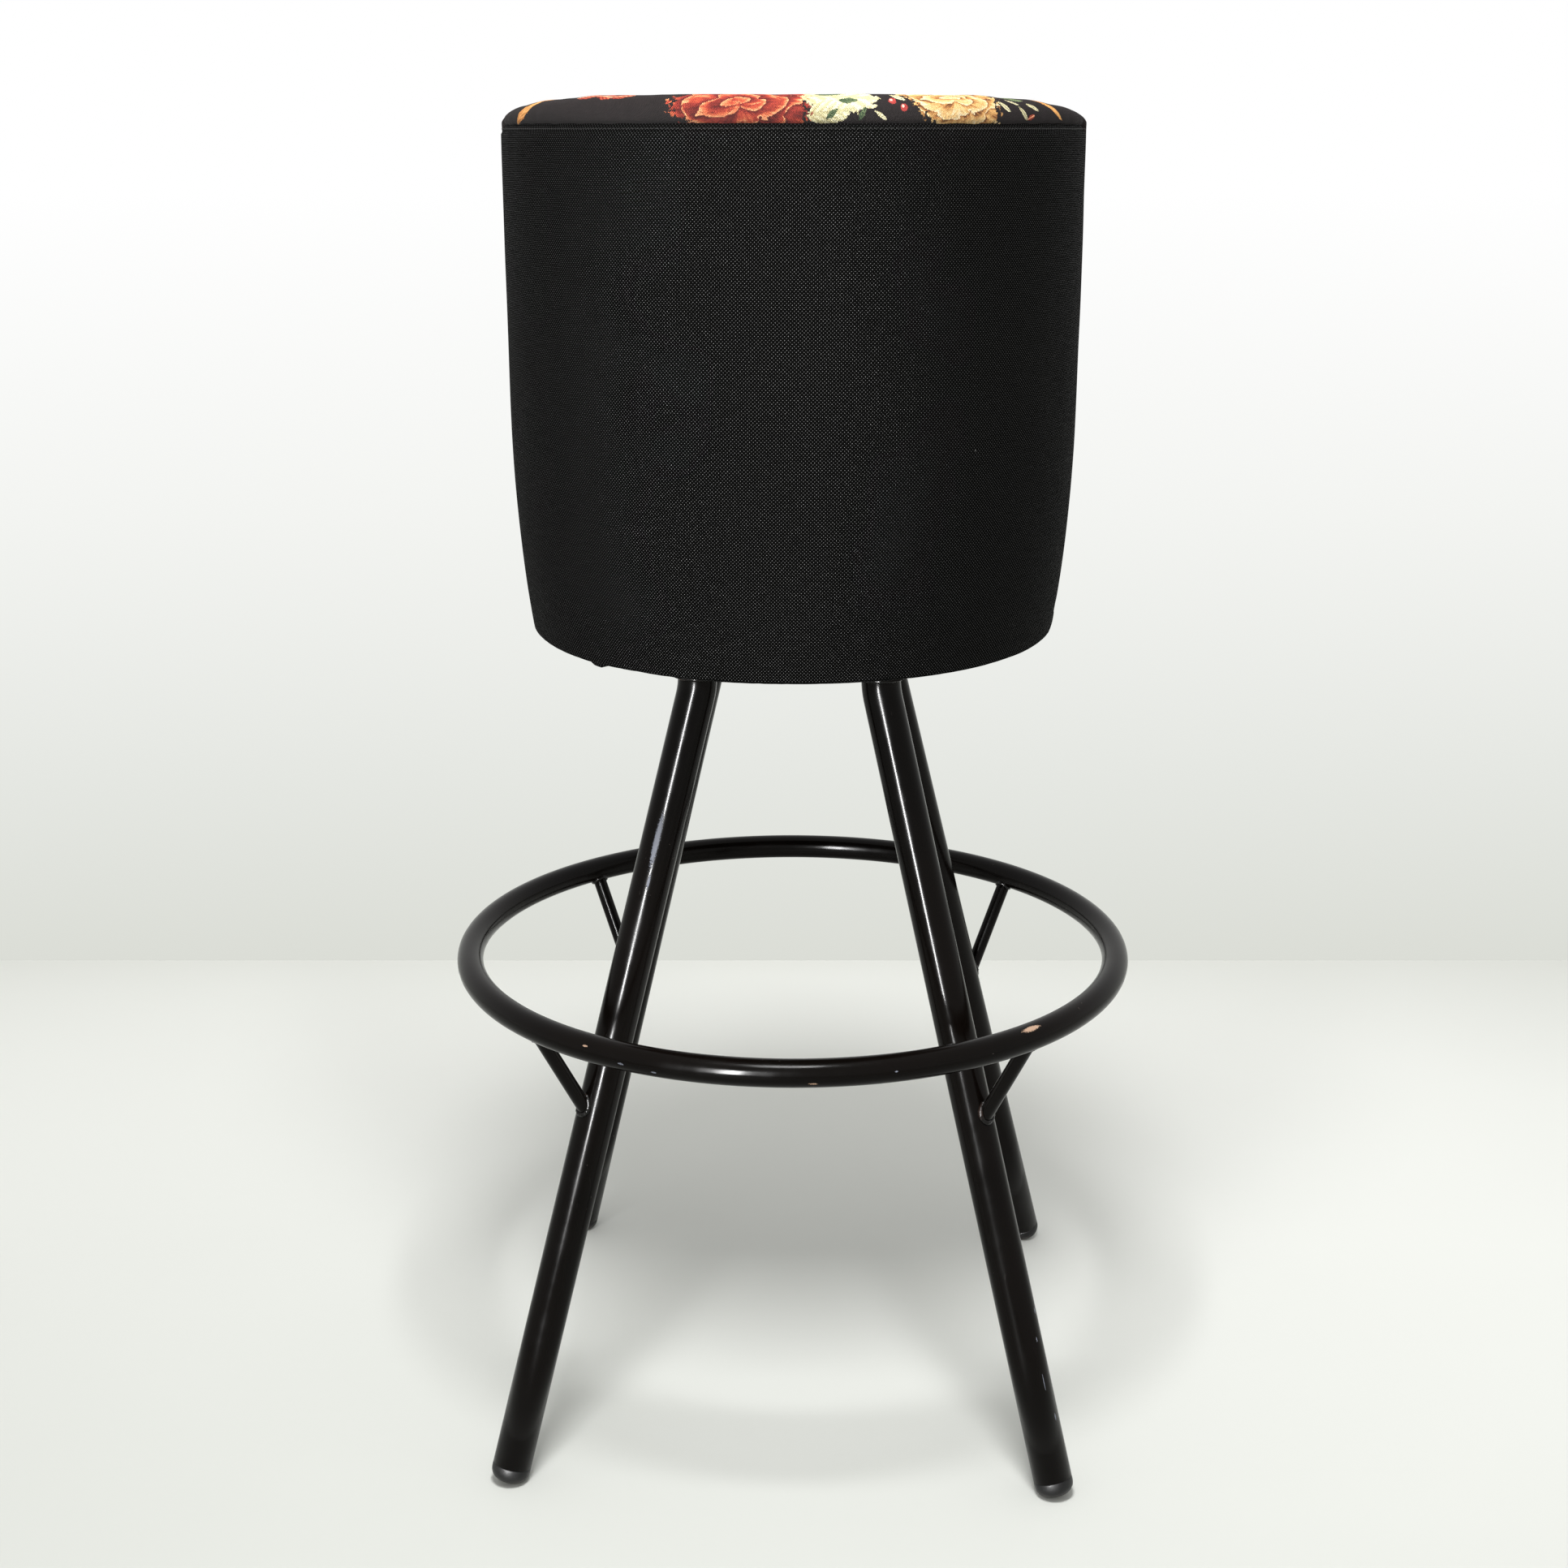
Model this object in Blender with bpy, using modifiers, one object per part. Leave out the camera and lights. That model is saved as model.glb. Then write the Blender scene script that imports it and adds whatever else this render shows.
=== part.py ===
"""Swivel bar stool: a padded tub seat on four splayed tube legs with a foot ring.

Frame: metres, +Z up, the floor at Z = 0 and the swivel axis on X = Y = 0.
The sitter faces -Y, and the closed side of the tub is at +Y.
"""
import math

import bmesh
import bpy
from mathutils import Matrix
from mathutils import Vector

# ---------------------------------------------------------------- base frame
BASE_HEIGHT = 0.650  # floor to the underside of the frame plate
FOOT_SPREAD = 0.451  # between neighbouring leg axes at the floor
TOP_SPREAD = 0.148  # between neighbouring leg axes at the frame plate
LEG_DIAMETER = 0.0318
LEG_WALL = 0.0016
LEG_UPRIGHT = 0.010  # upright stretch between the bend and the frame plate
LEG_BEND_LENGTH = 0.016  # height that the bend takes
LEG_BEND_STEPS = 3
LEG_SIDES = 16  # of the tube's faceted section, an even number

RING_DIAMETER = 0.5554  # of the foot ring's centre line
RING_TUBE = 0.022
RING_HEIGHT = 0.392
STRUT_DIAMETER = 0.012
STRUT_DROP = 0.0995  # from the ring's centre line down to the strut's axis on the leg

GLIDE_CAP_HEIGHT = 0.0135
GLIDE_EDGE = 0.0092  # round on the cap's lower edge
GLIDE_WEAR = 0.0016  # depth of the flat that the floor wears on the cap
GLIDE_PLUG_LENGTH = 0.022

# ------------------------------------------------------------------- swivel
FRAME_PLATE_SIDE = 0.186
FRAME_PLATE_THICKNESS = 0.004
SWIVEL_PLATE_SIDE = 0.170
SWIVEL_PLATE_THICKNESS = 0.0025
PLATE_CORNER = 0.012
SWIVEL_HEIGHT = 0.0234  # over both swivel plates
BALL_RADIUS = 0.004
BALL_COUNT = 8
BALL_CIRCLE = 0.045  # radius of the circle through the ball centres
RACE_WIDTH = 0.020
RACE_GROOVE_HALF_WIDTH = 0.003
CAGE_THICKNESS = 0.001
CAGE_WIDTH = 0.016
SPINDLE_RADIUS = 0.008
SPINDLE_HEAD_RADIUS = 0.013
SPINDLE_HEAD_THICKNESS = 0.003
BUSH_WALL = 0.0025
BUSH_DROP = 0.002  # how far the bush stands below the upper plate
WASHER_RADIUS = 0.015
WASHER_THICKNESS = 0.0015

FRAME_BOLT_CIRCLE = 0.070  # radius, bolts midway along the plate's sides
SEAT_BOLT_SQUARE = 0.136  # side of the square of bolts under the seat
BOLT_RADIUS = 0.0036
BOLT_HEAD_RADIUS = 0.0064
BOLT_HEAD_HEIGHT = 0.004
FRAME_BOLT_LENGTH = 0.0125
SEAT_BOLT_LENGTH = 0.017
TEE_NUT_FLANGE_RADIUS = 0.0105
TEE_NUT_FLANGE = 0.0015
TEE_NUT_BARREL_RADIUS = 0.0056
TEE_NUT_LENGTH = 0.012

# ----------------------------------------------------------------- tub seat
TUB_RADIUS = 0.2287  # outside of the black back cover, where it is upright
TUB_TUCK = 0.014  # how far the tub draws in at its lower edge
TUB_TUCK_HEIGHT = 0.224
BACK_HEIGHT = 0.3975  # from the seat's underside to the seam below the top roll
ROLL_RADIUS = 0.0212  # of the padded top roll
COVER_THICKNESS = 0.0022
COVER_HANG = 0.0018  # the cover's fold below the seat's underside
SHELL_THICKNESS = 0.0095
SHELL_TOP_DROP = 0.004
SEAM_FRONT = 0.016  # +Y of the side seams, where the shell and back cover end
WING_ROLL = 0.022  # the padding in front of the shell's edges

BOARD_THICKNESS = 0.018
CUSHION_HEIGHT = 0.070
CUSHION_CROWN = 0.008
CUSHION_EDGE = 0.018
CUSHION_CLEARANCE = 0.0012
PAD_CLEARANCE = 0.002  # the back pad's lower end above the cushion's edge
DUST_COVER_THICKNESS = 0.0006
DUST_COVER_MARGIN = 0.006

SCREW_COUNT = 5
SCREW_FAN = math.radians(150)  # angle that the shell's screws span
SCREW_RADIUS = 0.0021
SCREW_HEAD_RADIUS = 0.0042
SCREW_HEAD_THICKNESS = 0.0020
SCREW_SINK = 0.0008  # of the head below the shell's outside
SCREW_LENGTH = 0.028

GAP = 0.0003  # between pieces that rest on or fit into each other
HOLE_CLEARANCE = 0.0006  # round bolts that pass through plates
ROUND_STEPS = 40
TUB_STEPS = 48
TUB_ROWS = 5
RING_STEPS = 48
RING_TUBE_STEPS = 12
BEARING_STEPS = 28
SMALL_STEPS = 16

# ---------------------------------------------------------- derived heights
FRAME_TOP = BASE_HEIGHT + FRAME_PLATE_THICKNESS
LOWER_PLATE_BOTTOM = FRAME_TOP + GAP
LOWER_PLATE_TOP = LOWER_PLATE_BOTTOM + SWIVEL_PLATE_THICKNESS
UPPER_PLATE_TOP = LOWER_PLATE_BOTTOM + SWIVEL_HEIGHT
UPPER_PLATE_BOTTOM = UPPER_PLATE_TOP - SWIVEL_PLATE_THICKNESS
BALL_HEIGHT = (LOWER_PLATE_TOP + UPPER_PLATE_BOTTOM) / 2
SEAT_UNDERSIDE = UPPER_PLATE_TOP + GAP
SEAM_HEIGHT = SEAT_UNDERSIDE + BACK_HEIGHT
BOARD_TOP = SEAT_UNDERSIDE + BOARD_THICKNESS
CUSHION_BOTTOM = BOARD_TOP + GAP
CUSHION_RIM = CUSHION_BOTTOM + CUSHION_HEIGHT - CUSHION_CROWN
PAD_BOTTOM = CUSHION_RIM + PAD_CLEARANCE

# ------------------------------------------------------------ derived radii
LEG_RADIUS = LEG_DIAMETER / 2
LEG_BORE = LEG_RADIUS - LEG_WALL
LEG_SPLAY = (FOOT_SPREAD - TOP_SPREAD) / 2 / (BASE_HEIGHT - LEG_UPRIGHT)
RING_RADIUS = RING_DIAMETER / 2
PAD_INSIDE = TUB_RADIUS - 2 * ROLL_RADIUS
SHELL_OUTER_INSET = COVER_THICKNESS + GAP
SHELL_INNER_INSET = SHELL_OUTER_INSET + SHELL_THICKNESS
BUSH_RADIUS = SPINDLE_RADIUS + GAP + BUSH_WALL
BOLT_BORE = BOLT_RADIUS + GAP

CORNERS = {
    "rear_left": (1, 1),
    "rear_right": (-1, 1),
    "front_left": (1, -1),
    "front_right": (-1, -1),
}
SIDES = ("left", "rear", "right", "front")  # from +X, counterclockwise


def tuck_height(row):
    """Height of a row of the tuck, counted down from where the tub is upright."""
    return SEAT_UNDERSIDE + TUB_TUCK_HEIGHT * (1 - row / TUB_ROWS)


def tuck_depth(row):
    return TUB_TUCK * (row / TUB_ROWS) ** 2.5


def tub_radius(height):
    """Outer radius of the tub: upright above, drawn in towards its lower edge.

    It is straight between rows, so that every wall that follows it has the same facets.
    """
    row = max(0.0, (tuck_height(0) - height) / TUB_TUCK_HEIGHT * TUB_ROWS)
    whole = math.floor(row)
    step = tuck_depth(whole + 1) - tuck_depth(whole)
    return TUB_RADIUS - tuck_depth(whole) - step * (row - whole)


BOARD_RADIUS = tub_radius(SEAT_UNDERSIDE) - SHELL_INNER_INSET - GAP
CUSHION_RADIUS = tub_radius(CUSHION_BOTTOM) - SHELL_INNER_INSET - CUSHION_CLEARANCE


# ------------------------------------------------------------------ helpers
def clear_scene():
    """Remove every object and make the collections for parts and cutters."""
    for old in list(bpy.data.objects):
        bpy.data.objects.remove(old)
    for name in ("bar_stool", "cutters"):
        collection = bpy.data.collections.new(name)
        bpy.context.scene.collection.children.link(collection)


def make_material(name, colour, roughness, metallic=0.0):
    material = bpy.data.materials.new(name)
    material.use_nodes = True
    shader = material.node_tree.nodes["Principled BSDF"]
    shader.inputs["Base Color"].default_value = (*colour, 1.0)
    shader.inputs["Roughness"].default_value = roughness
    shader.inputs["Metallic"].default_value = metallic
    return material


def add_object(name, data, material=None, collection="bar_stool"):
    thing = bpy.data.objects.new(name, data)
    bpy.data.collections[collection].objects.link(thing)
    if material is not None:
        data.materials.append(material)
    return thing


def mesh_from(name, bm, smooth_angle=40):
    mesh = bpy.data.meshes.new(name)
    bm.to_mesh(mesh)
    bm.free()
    mesh.shade_smooth()
    mesh.set_sharp_from_angle(angle=math.radians(smooth_angle))
    return mesh


def mark_cutter(thing):
    thing.hide_render = True
    thing.display_type = "WIRE"
    return thing


def profile_mesh(name, points, closed):
    """An edge chain in the XZ plane, from (radius, height) pairs."""
    bm = bmesh.new()
    verts = [bm.verts.new((radius, 0.0, height)) for radius, height in points]
    for first, second in zip(verts, verts[1:]):
        bm.edges.new((first, second))
    if closed:
        bm.edges.new((verts[-1], verts[0]))
    mesh = bpy.data.meshes.new(name)
    bm.to_mesh(mesh)
    bm.free()
    return mesh


def turned(name, points, closed, material=None, collection="bar_stool", steps=ROUND_STEPS):
    """Turn a profile about Z. Its outer side runs from the top down."""
    thing = add_object(name, profile_mesh(name, points, closed), material, collection)
    screw = thing.modifiers.new("turn", "SCREW")
    screw.steps = steps
    screw.render_steps = steps
    screw.use_merge_vertices = True
    screw.merge_threshold = 0.00005
    screw.use_smooth_shade = True
    return thing


def boolean(thing, cutter, operation="DIFFERENCE"):
    modifier = thing.modifiers.new(cutter.name, "BOOLEAN")
    modifier.operation = operation
    modifier.solver = "EXACT"
    modifier.object = cutter


def evaluated_mesh(thing):
    """The object's mesh with its modifiers, as new mesh data."""
    bpy.context.view_layer.update()
    depsgraph = bpy.context.evaluated_depsgraph_get()
    return bpy.data.meshes.new_from_object(thing.evaluated_get(depsgraph))


def placed_copies(source, names, places):
    """Replace an object by one copy of it at every place, all sharing its mesh."""
    shared = evaluated_mesh(source)
    stem = source.name
    bpy.data.objects.remove(source)
    for name, place in zip(names, places):
        copy = add_object(f"{stem}_{name}", shared)
        copy.matrix_world = place


def joined_cutter(source, places):
    """Replace a cutter by one mesh that holds a copy of it at every place."""
    single = evaluated_mesh(source)
    bm = bmesh.new()
    for place in places:
        bm.from_mesh(single)
        bmesh.ops.transform(bm, matrix=place, verts=bm.verts[-len(single.vertices):])
    source.modifiers.clear()
    source.data = mesh_from(source.name, bm)
    return mark_cutter(source)


def places_on_circle(radius, count, height=0.0):
    step = math.tau / count
    lift = Matrix.Translation((radius, 0.0, height))
    return [Matrix.Rotation(index * step, 4, "Z") @ lift for index in range(count)]


def places_on_square(side, height=0.0):
    half = side / 2
    return [Matrix.Translation((x * half, y * half, height)) for x, y in CORNERS.values()]


def arc(centre, radius, start, end, steps):
    """Points of an arc as (radius, height) pairs, angles in degrees."""
    points = []
    for index in range(steps + 1):
        angle = math.radians(start + (end - start) * index / steps)
        points.append((centre[0] + radius * math.cos(angle), centre[1] + radius * math.sin(angle)))
    return points


def add_spline(curve, points):
    spline = curve.splines.new("POLY")
    spline.points.add(len(points) - 1)
    for point, (x, y) in zip(spline.points, points):
        point.co = (x, y, 0.0, 1.0)
    spline.use_cyclic_u = True


def circle_points(radius, steps, centre=(0.0, 0.0)):
    return arc(centre, radius, 0, 360 - 360 / steps, steps - 1)


def rounded_square(side, corner):
    """Outline of a square plate with round corners."""
    inner = side / 2 - corner
    points = []
    for start, (x, y) in zip((0, 90, 180, 270), ((1, 1), (-1, 1), (-1, -1), (1, -1))):
        points += arc((x * inner, y * inner), corner, start, start + 90, 4)
    return points


def flat_plate(name, outlines, bottom, thickness, material):
    """A plate from its outline and its holes, lying flat at a height."""
    curve = bpy.data.curves.new(name, "CURVE")
    curve.dimensions = "2D"
    curve.fill_mode = "BOTH"
    curve.extrude = thickness / 2
    for outline in outlines:
        add_spline(curve, outline)
    plate = add_object(name, curve, material)
    plate.location.z = bottom + thickness / 2
    return plate


def cylinder_mesh(name, radius, bottom, top, segments):
    bm = bmesh.new()
    middle = Matrix.Translation((0.0, 0.0, (bottom + top) / 2))
    bmesh.ops.create_cone(
        bm, cap_ends=True, segments=segments, radius1=radius, radius2=radius,
        depth=top - bottom, matrix=middle,
    )
    return mesh_from(name, bm)


def box_cutter(name, low, high):
    bm = bmesh.new()
    size = Vector(high) - Vector(low)
    middle = (Vector(high) + Vector(low)) / 2
    bmesh.ops.create_cube(bm, size=1.0, matrix=Matrix.Translation(middle) @ Matrix.Diagonal((*size, 1.0)))
    return mark_cutter(add_object(name, mesh_from(name, bm), collection="cutters"))


# --------------------------------------------------------------- leg frame
def leg_axis_point(corner, height):
    """Centre of a leg at a height on its splayed stretch."""
    x, y = corner
    half = FOOT_SPREAD / 2 - LEG_SPLAY * height
    return Vector((x * half, y * half, height))


def leg_direction(corner):
    """Unit vector up the splayed stretch of a leg."""
    return (leg_axis_point(corner, 1.0) - leg_axis_point(corner, 0.0)).normalized()


def leg_bend(corner):
    """Points along the bend, where the leg turns upright under the plate."""
    turn = BASE_HEIGHT - LEG_UPRIGHT
    start = leg_axis_point(corner, turn - LEG_BEND_LENGTH / 2)
    corner_point = leg_axis_point(corner, turn)
    end = corner_point + Vector((0.0, 0.0, LEG_BEND_LENGTH / 2))
    points = []
    for index in range(LEG_BEND_STEPS + 1):
        share = index / LEG_BEND_STEPS
        points.append(start.lerp(corner_point, share).lerp(corner_point.lerp(end, share), share))
    return points


def make_leg(name, corner, material):
    """A bent, hollow tube from the glide to the frame plate."""
    foot = leg_axis_point(corner, 0.0) + leg_direction(corner) * glide_rise()
    top = Vector((*leg_bend(corner)[-1].xy, BASE_HEIGHT - GAP))
    points = [foot, *leg_bend(corner), top]
    curve = bpy.data.curves.new(name, "CURVE")
    curve.dimensions = "3D"
    curve.bevel_depth = LEG_RADIUS
    curve.bevel_resolution = LEG_SIDES // 2 - 2
    spline = curve.splines.new("POLY")
    spline.points.add(len(points) - 1)
    for point, place in zip(spline.points, points):
        point.co = (*place, 1.0)
    guide = add_object(name + "_guide", curve)
    leg = add_object(name, evaluated_mesh(guide), material)
    bpy.data.objects.remove(guide)
    wall = leg.modifiers.new("wall", "SOLIDIFY")
    wall.thickness = LEG_WALL
    wall.offset = -1.0
    wall.use_even_offset = True
    return leg


def glide_lean():
    """Angle between a leg's axis and the vertical."""
    return math.atan(math.sqrt(2) * LEG_SPLAY)


def glide_rise():
    """Distance along the axis from the floor point to the tube's lower end.

    The cap's round edge reaches lowest on the outer side, and wears flat there.
    """
    edge_reach = (LEG_RADIUS - GLIDE_EDGE) * math.sin(glide_lean()) + GLIDE_EDGE
    along = (edge_reach - GLIDE_WEAR) / math.cos(glide_lean())
    return along - GLIDE_EDGE + GLIDE_CAP_HEIGHT + GAP


def glide_profile():
    """Plug that clears the flats inside the tube, and a cap of the tube's own diameter."""
    plug = LEG_BORE * math.cos(math.pi / LEG_SIDES) - GAP
    edge_centre = (LEG_RADIUS - GLIDE_EDGE, -GLIDE_CAP_HEIGHT + GLIDE_EDGE)
    points = [(0.0, GLIDE_PLUG_LENGTH), (plug - 0.0015, GLIDE_PLUG_LENGTH), (plug, GLIDE_PLUG_LENGTH - 0.003)]
    points += [(plug, 0.0), (LEG_RADIUS, 0.0)]
    points += arc(edge_centre, GLIDE_EDGE, 0, -90, 5)
    points += [(0.0, -GLIDE_CAP_HEIGHT)]
    return points


def make_glide(name, corner, material, floor):
    glide = turned(name, glide_profile(), False, material, steps=20)
    direction = leg_direction(corner)
    foot = leg_axis_point(corner, 0.0) + direction * (glide_rise() - GAP)
    turn = direction.to_track_quat("Z", "Y").to_matrix().to_4x4()
    glide.matrix_world = Matrix.Translation(foot) @ turn
    boolean(glide, floor)
    return glide


def make_foot_ring(material):
    bpy.ops.mesh.primitive_torus_add(
        major_radius=RING_RADIUS, minor_radius=RING_TUBE / 2,
        major_segments=RING_STEPS, minor_segments=RING_TUBE_STEPS, location=(0.0, 0.0, RING_HEIGHT),
    )
    ring = bpy.context.object
    ring.name = "foot_ring"
    ring.data.name = "foot_ring"
    for collection in list(ring.users_collection):
        collection.objects.unlink(ring)
    bpy.data.collections["bar_stool"].objects.link(ring)
    ring.data.materials.append(material)
    ring.data.shade_smooth()
    return ring


def ring_cutter():
    """The ring's tube, grown by the gap that a strut's end keeps to it."""
    turn = 360 / RING_TUBE_STEPS
    section = arc((RING_RADIUS, RING_HEIGHT), RING_TUBE / 2 + GAP, 90, turn - 270, RING_TUBE_STEPS - 1)
    return mark_cutter(turned("ring_cutter", section, True, collection="cutters", steps=RING_STEPS))


def leg_cutter(name, corner):
    """The leg's tube, grown by the gap that a strut's end keeps to it."""
    mesh = cylinder_mesh(name, LEG_RADIUS + GAP, -0.1, 0.1, 24)
    cutter = mark_cutter(add_object(name, mesh, collection="cutters"))
    turn = leg_direction(corner).to_track_quat("Z", "Y").to_matrix().to_4x4()
    joint = leg_axis_point(corner, RING_HEIGHT - STRUT_DROP)
    cutter.matrix_world = Matrix.Translation(joint) @ turn
    return cutter


def make_strut(name, corner, material, ring):
    """A rod from the leg's outer side up to the underside of the ring."""
    low = leg_axis_point(corner, RING_HEIGHT - STRUT_DROP)
    outward = Vector((*low.xy, 0.0)).normalized()
    high = outward * RING_RADIUS + Vector((0.0, 0.0, RING_HEIGHT))
    direction = (high - low).normalized()
    mesh = cylinder_mesh(name, STRUT_DIAMETER / 2, 0.0, (high - low).length, 14)
    strut = add_object(name, mesh, material)
    strut.matrix_world = Matrix.Translation(low) @ direction.to_track_quat("Z", "Y").to_matrix().to_4x4()
    boolean(strut, leg_cutter(name + "_leg_cutter", corner))
    boolean(strut, ring)
    return strut


def make_base(paint, rubber):
    """Legs, glides, foot ring and struts."""
    floor = box_cutter("floor_cutter", (-1.0, -1.0, -0.2), (1.0, 1.0, 0.0))
    ring = ring_cutter()
    make_foot_ring(paint)
    for place, corner in CORNERS.items():
        make_leg("leg_" + place, corner, paint)
        make_glide("glide_" + place, corner, rubber, floor)
        make_strut("strut_" + place, corner, paint, ring)


# ------------------------------------------------------------------- swivel
def make_plates(paint, zinc):
    """The frame plate that joins the legs, and the two plates of the swivel."""
    bolt_hole = BOLT_RADIUS + HOLE_CLEARANCE
    frame_holes = [
        circle_points(bolt_hole, 12, place.translation.xy)
        for place in places_on_circle(FRAME_BOLT_CIRCLE, 4)
    ]
    seat_holes = [
        circle_points(bolt_hole, 12, place.translation.xy)
        for place in places_on_square(SEAT_BOLT_SQUARE)
    ]
    outline = rounded_square(FRAME_PLATE_SIDE, PLATE_CORNER)
    centre = circle_points(SPINDLE_HEAD_RADIUS + HOLE_CLEARANCE, SMALL_STEPS)
    flat_plate("frame_plate", [outline, centre, *frame_holes], BASE_HEIGHT, FRAME_PLATE_THICKNESS, paint)

    outline = rounded_square(SWIVEL_PLATE_SIDE, PLATE_CORNER)
    centre = circle_points(SPINDLE_RADIUS + GAP, SMALL_STEPS)
    flat_plate(
        "swivel_lower_plate", [outline, centre, *frame_holes],
        LOWER_PLATE_BOTTOM, SWIVEL_PLATE_THICKNESS, zinc,
    )
    centre = circle_points(BUSH_RADIUS + GAP, SMALL_STEPS)
    flat_plate(
        "swivel_upper_plate", [outline, centre, *seat_holes],
        UPPER_PLATE_BOTTOM, SWIVEL_PLATE_THICKNESS, zinc,
    )


def race_profile(seat_height, side):
    """A ring with a ball groove; side is -1 for the lower race and 1 for the upper."""
    groove = BALL_RADIUS + GAP
    half_angle = math.degrees(math.asin(RACE_GROOVE_HALF_WIDTH / groove))
    curve = arc((BALL_CIRCLE, BALL_HEIGHT), groove, side * 90 + half_angle, side * 90 - half_angle, 4)
    shoulder = curve[0][1]
    inner = BALL_CIRCLE - RACE_WIDTH / 2
    outer = BALL_CIRCLE + RACE_WIDTH / 2
    if side < 0:
        return [(outer, shoulder), (outer, seat_height), (inner, seat_height), (inner, shoulder), *curve[::-1]]
    return [(outer, seat_height), (outer, shoulder), *curve[::-1], (inner, shoulder), (inner, seat_height)]


def make_races(steel):
    lower = race_profile(LOWER_PLATE_TOP + GAP, -1)
    turned("lower_race", lower, True, steel, steps=BEARING_STEPS)
    upper = race_profile(UPPER_PLATE_BOTTOM - GAP, 1)
    turned("upper_race", upper, True, steel, steps=BEARING_STEPS)


def make_balls(steel):
    bm = bmesh.new()
    bmesh.ops.create_uvsphere(bm, u_segments=10, v_segments=6, radius=BALL_RADIUS)
    ball = add_object("swivel_ball", mesh_from("swivel_ball", bm, 80), steel)
    placed_copies(ball, range(1, BALL_COUNT + 1), places_on_circle(BALL_CIRCLE, BALL_COUNT, BALL_HEIGHT))


def make_cage(brass):
    """A flat ring with one hole for each ball."""
    outlines = [
        circle_points(BALL_CIRCLE + CAGE_WIDTH / 2, BEARING_STEPS),
        circle_points(BALL_CIRCLE - CAGE_WIDTH / 2, BEARING_STEPS),
    ]
    for place in places_on_circle(BALL_CIRCLE, BALL_COUNT):
        outlines.append(circle_points(BALL_RADIUS + 2 * GAP, 12, place.translation.xy))
    flat_plate("ball_cage", outlines, BALL_HEIGHT - CAGE_THICKNESS / 2, CAGE_THICKNESS, brass)


def make_spindle(steel):
    """The hollow rivet that holds the two swivel plates together."""
    head_bottom = UPPER_PLATE_TOP + 2 * GAP + WASHER_THICKNESS
    foot_top = LOWER_PLATE_BOTTOM - GAP
    points = [
        (SPINDLE_HEAD_RADIUS - 0.001, head_bottom + SPINDLE_HEAD_THICKNESS),
        (SPINDLE_HEAD_RADIUS, head_bottom + SPINDLE_HEAD_THICKNESS - 0.001),
        (SPINDLE_HEAD_RADIUS, head_bottom),
        (SPINDLE_RADIUS, head_bottom),
        (SPINDLE_RADIUS, foot_top),
        (SPINDLE_HEAD_RADIUS, foot_top),
        (SPINDLE_HEAD_RADIUS, foot_top - SPINDLE_HEAD_THICKNESS),
        (SPINDLE_RADIUS / 2, foot_top - SPINDLE_HEAD_THICKNESS),
        (SPINDLE_RADIUS / 2, head_bottom + SPINDLE_HEAD_THICKNESS),
    ]
    turned("swivel_spindle", points, True, steel, steps=SMALL_STEPS)


def make_bush(nylon):
    """The sleeve between the upper plate and the spindle."""
    top = UPPER_PLATE_TOP
    bottom = UPPER_PLATE_BOTTOM - BUSH_DROP
    inner = SPINDLE_RADIUS + GAP
    flange = BUSH_RADIUS + 0.002
    points = [
        (BUSH_RADIUS, top),
        (BUSH_RADIUS, UPPER_PLATE_BOTTOM - GAP),
        (flange, UPPER_PLATE_BOTTOM - GAP),
        (flange, bottom),
        (inner, bottom),
        (inner, top),
    ]
    turned("spindle_bush", points, True, nylon, steps=SMALL_STEPS)


def make_washer(steel):
    bottom = UPPER_PLATE_TOP + GAP
    inner = SPINDLE_RADIUS + GAP
    points = [
        (WASHER_RADIUS, bottom + WASHER_THICKNESS),
        (WASHER_RADIUS, bottom),
        (inner, bottom),
        (inner, bottom + WASHER_THICKNESS),
    ]
    turned("spindle_washer", points, True, steel, steps=SMALL_STEPS)


def make_bolts(name, length, names, places, material):
    """Hex bolts with the head below Z = 0 and the shank rising above it."""
    head = cylinder_mesh(name, BOLT_HEAD_RADIUS, -BOLT_HEAD_HEIGHT, 0.0, 6)
    bolt = add_object(name, head, material)
    shank_mesh = cylinder_mesh(name + "_shank", BOLT_RADIUS, -BOLT_HEAD_HEIGHT / 2, length, 12)
    shank = add_object(name + "_shank", shank_mesh, collection="cutters")
    boolean(bolt, mark_cutter(shank), "UNION")
    placed_copies(bolt, names, places)
    bpy.data.objects.remove(shank)


def make_nuts(name, bottom, names, places, material):
    """Hex nuts, with a bore that clears the bolt's shank."""
    body = add_object(name, cylinder_mesh(name, BOLT_HEAD_RADIUS, bottom, bottom + BOLT_HEAD_HEIGHT, 6), material)
    bore_mesh = cylinder_mesh(name + "_bore", BOLT_BORE, bottom - GAP, bottom + BOLT_HEAD_HEIGHT + GAP, 12)
    bore = add_object(name + "_bore", bore_mesh, collection="cutters")
    boolean(body, mark_cutter(bore))
    placed_copies(body, names, places)
    bpy.data.objects.remove(bore)


def tee_nut_profile(grow):
    """Flange on top and barrel below, with the flange's underside at Z = 0."""
    outer = TEE_NUT_FLANGE_RADIUS + grow
    barrel = TEE_NUT_BARREL_RADIUS + grow
    return [
        (outer, TEE_NUT_FLANGE), (outer, -grow), (barrel, -grow), (barrel, TEE_NUT_FLANGE - TEE_NUT_LENGTH),
    ]


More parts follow.
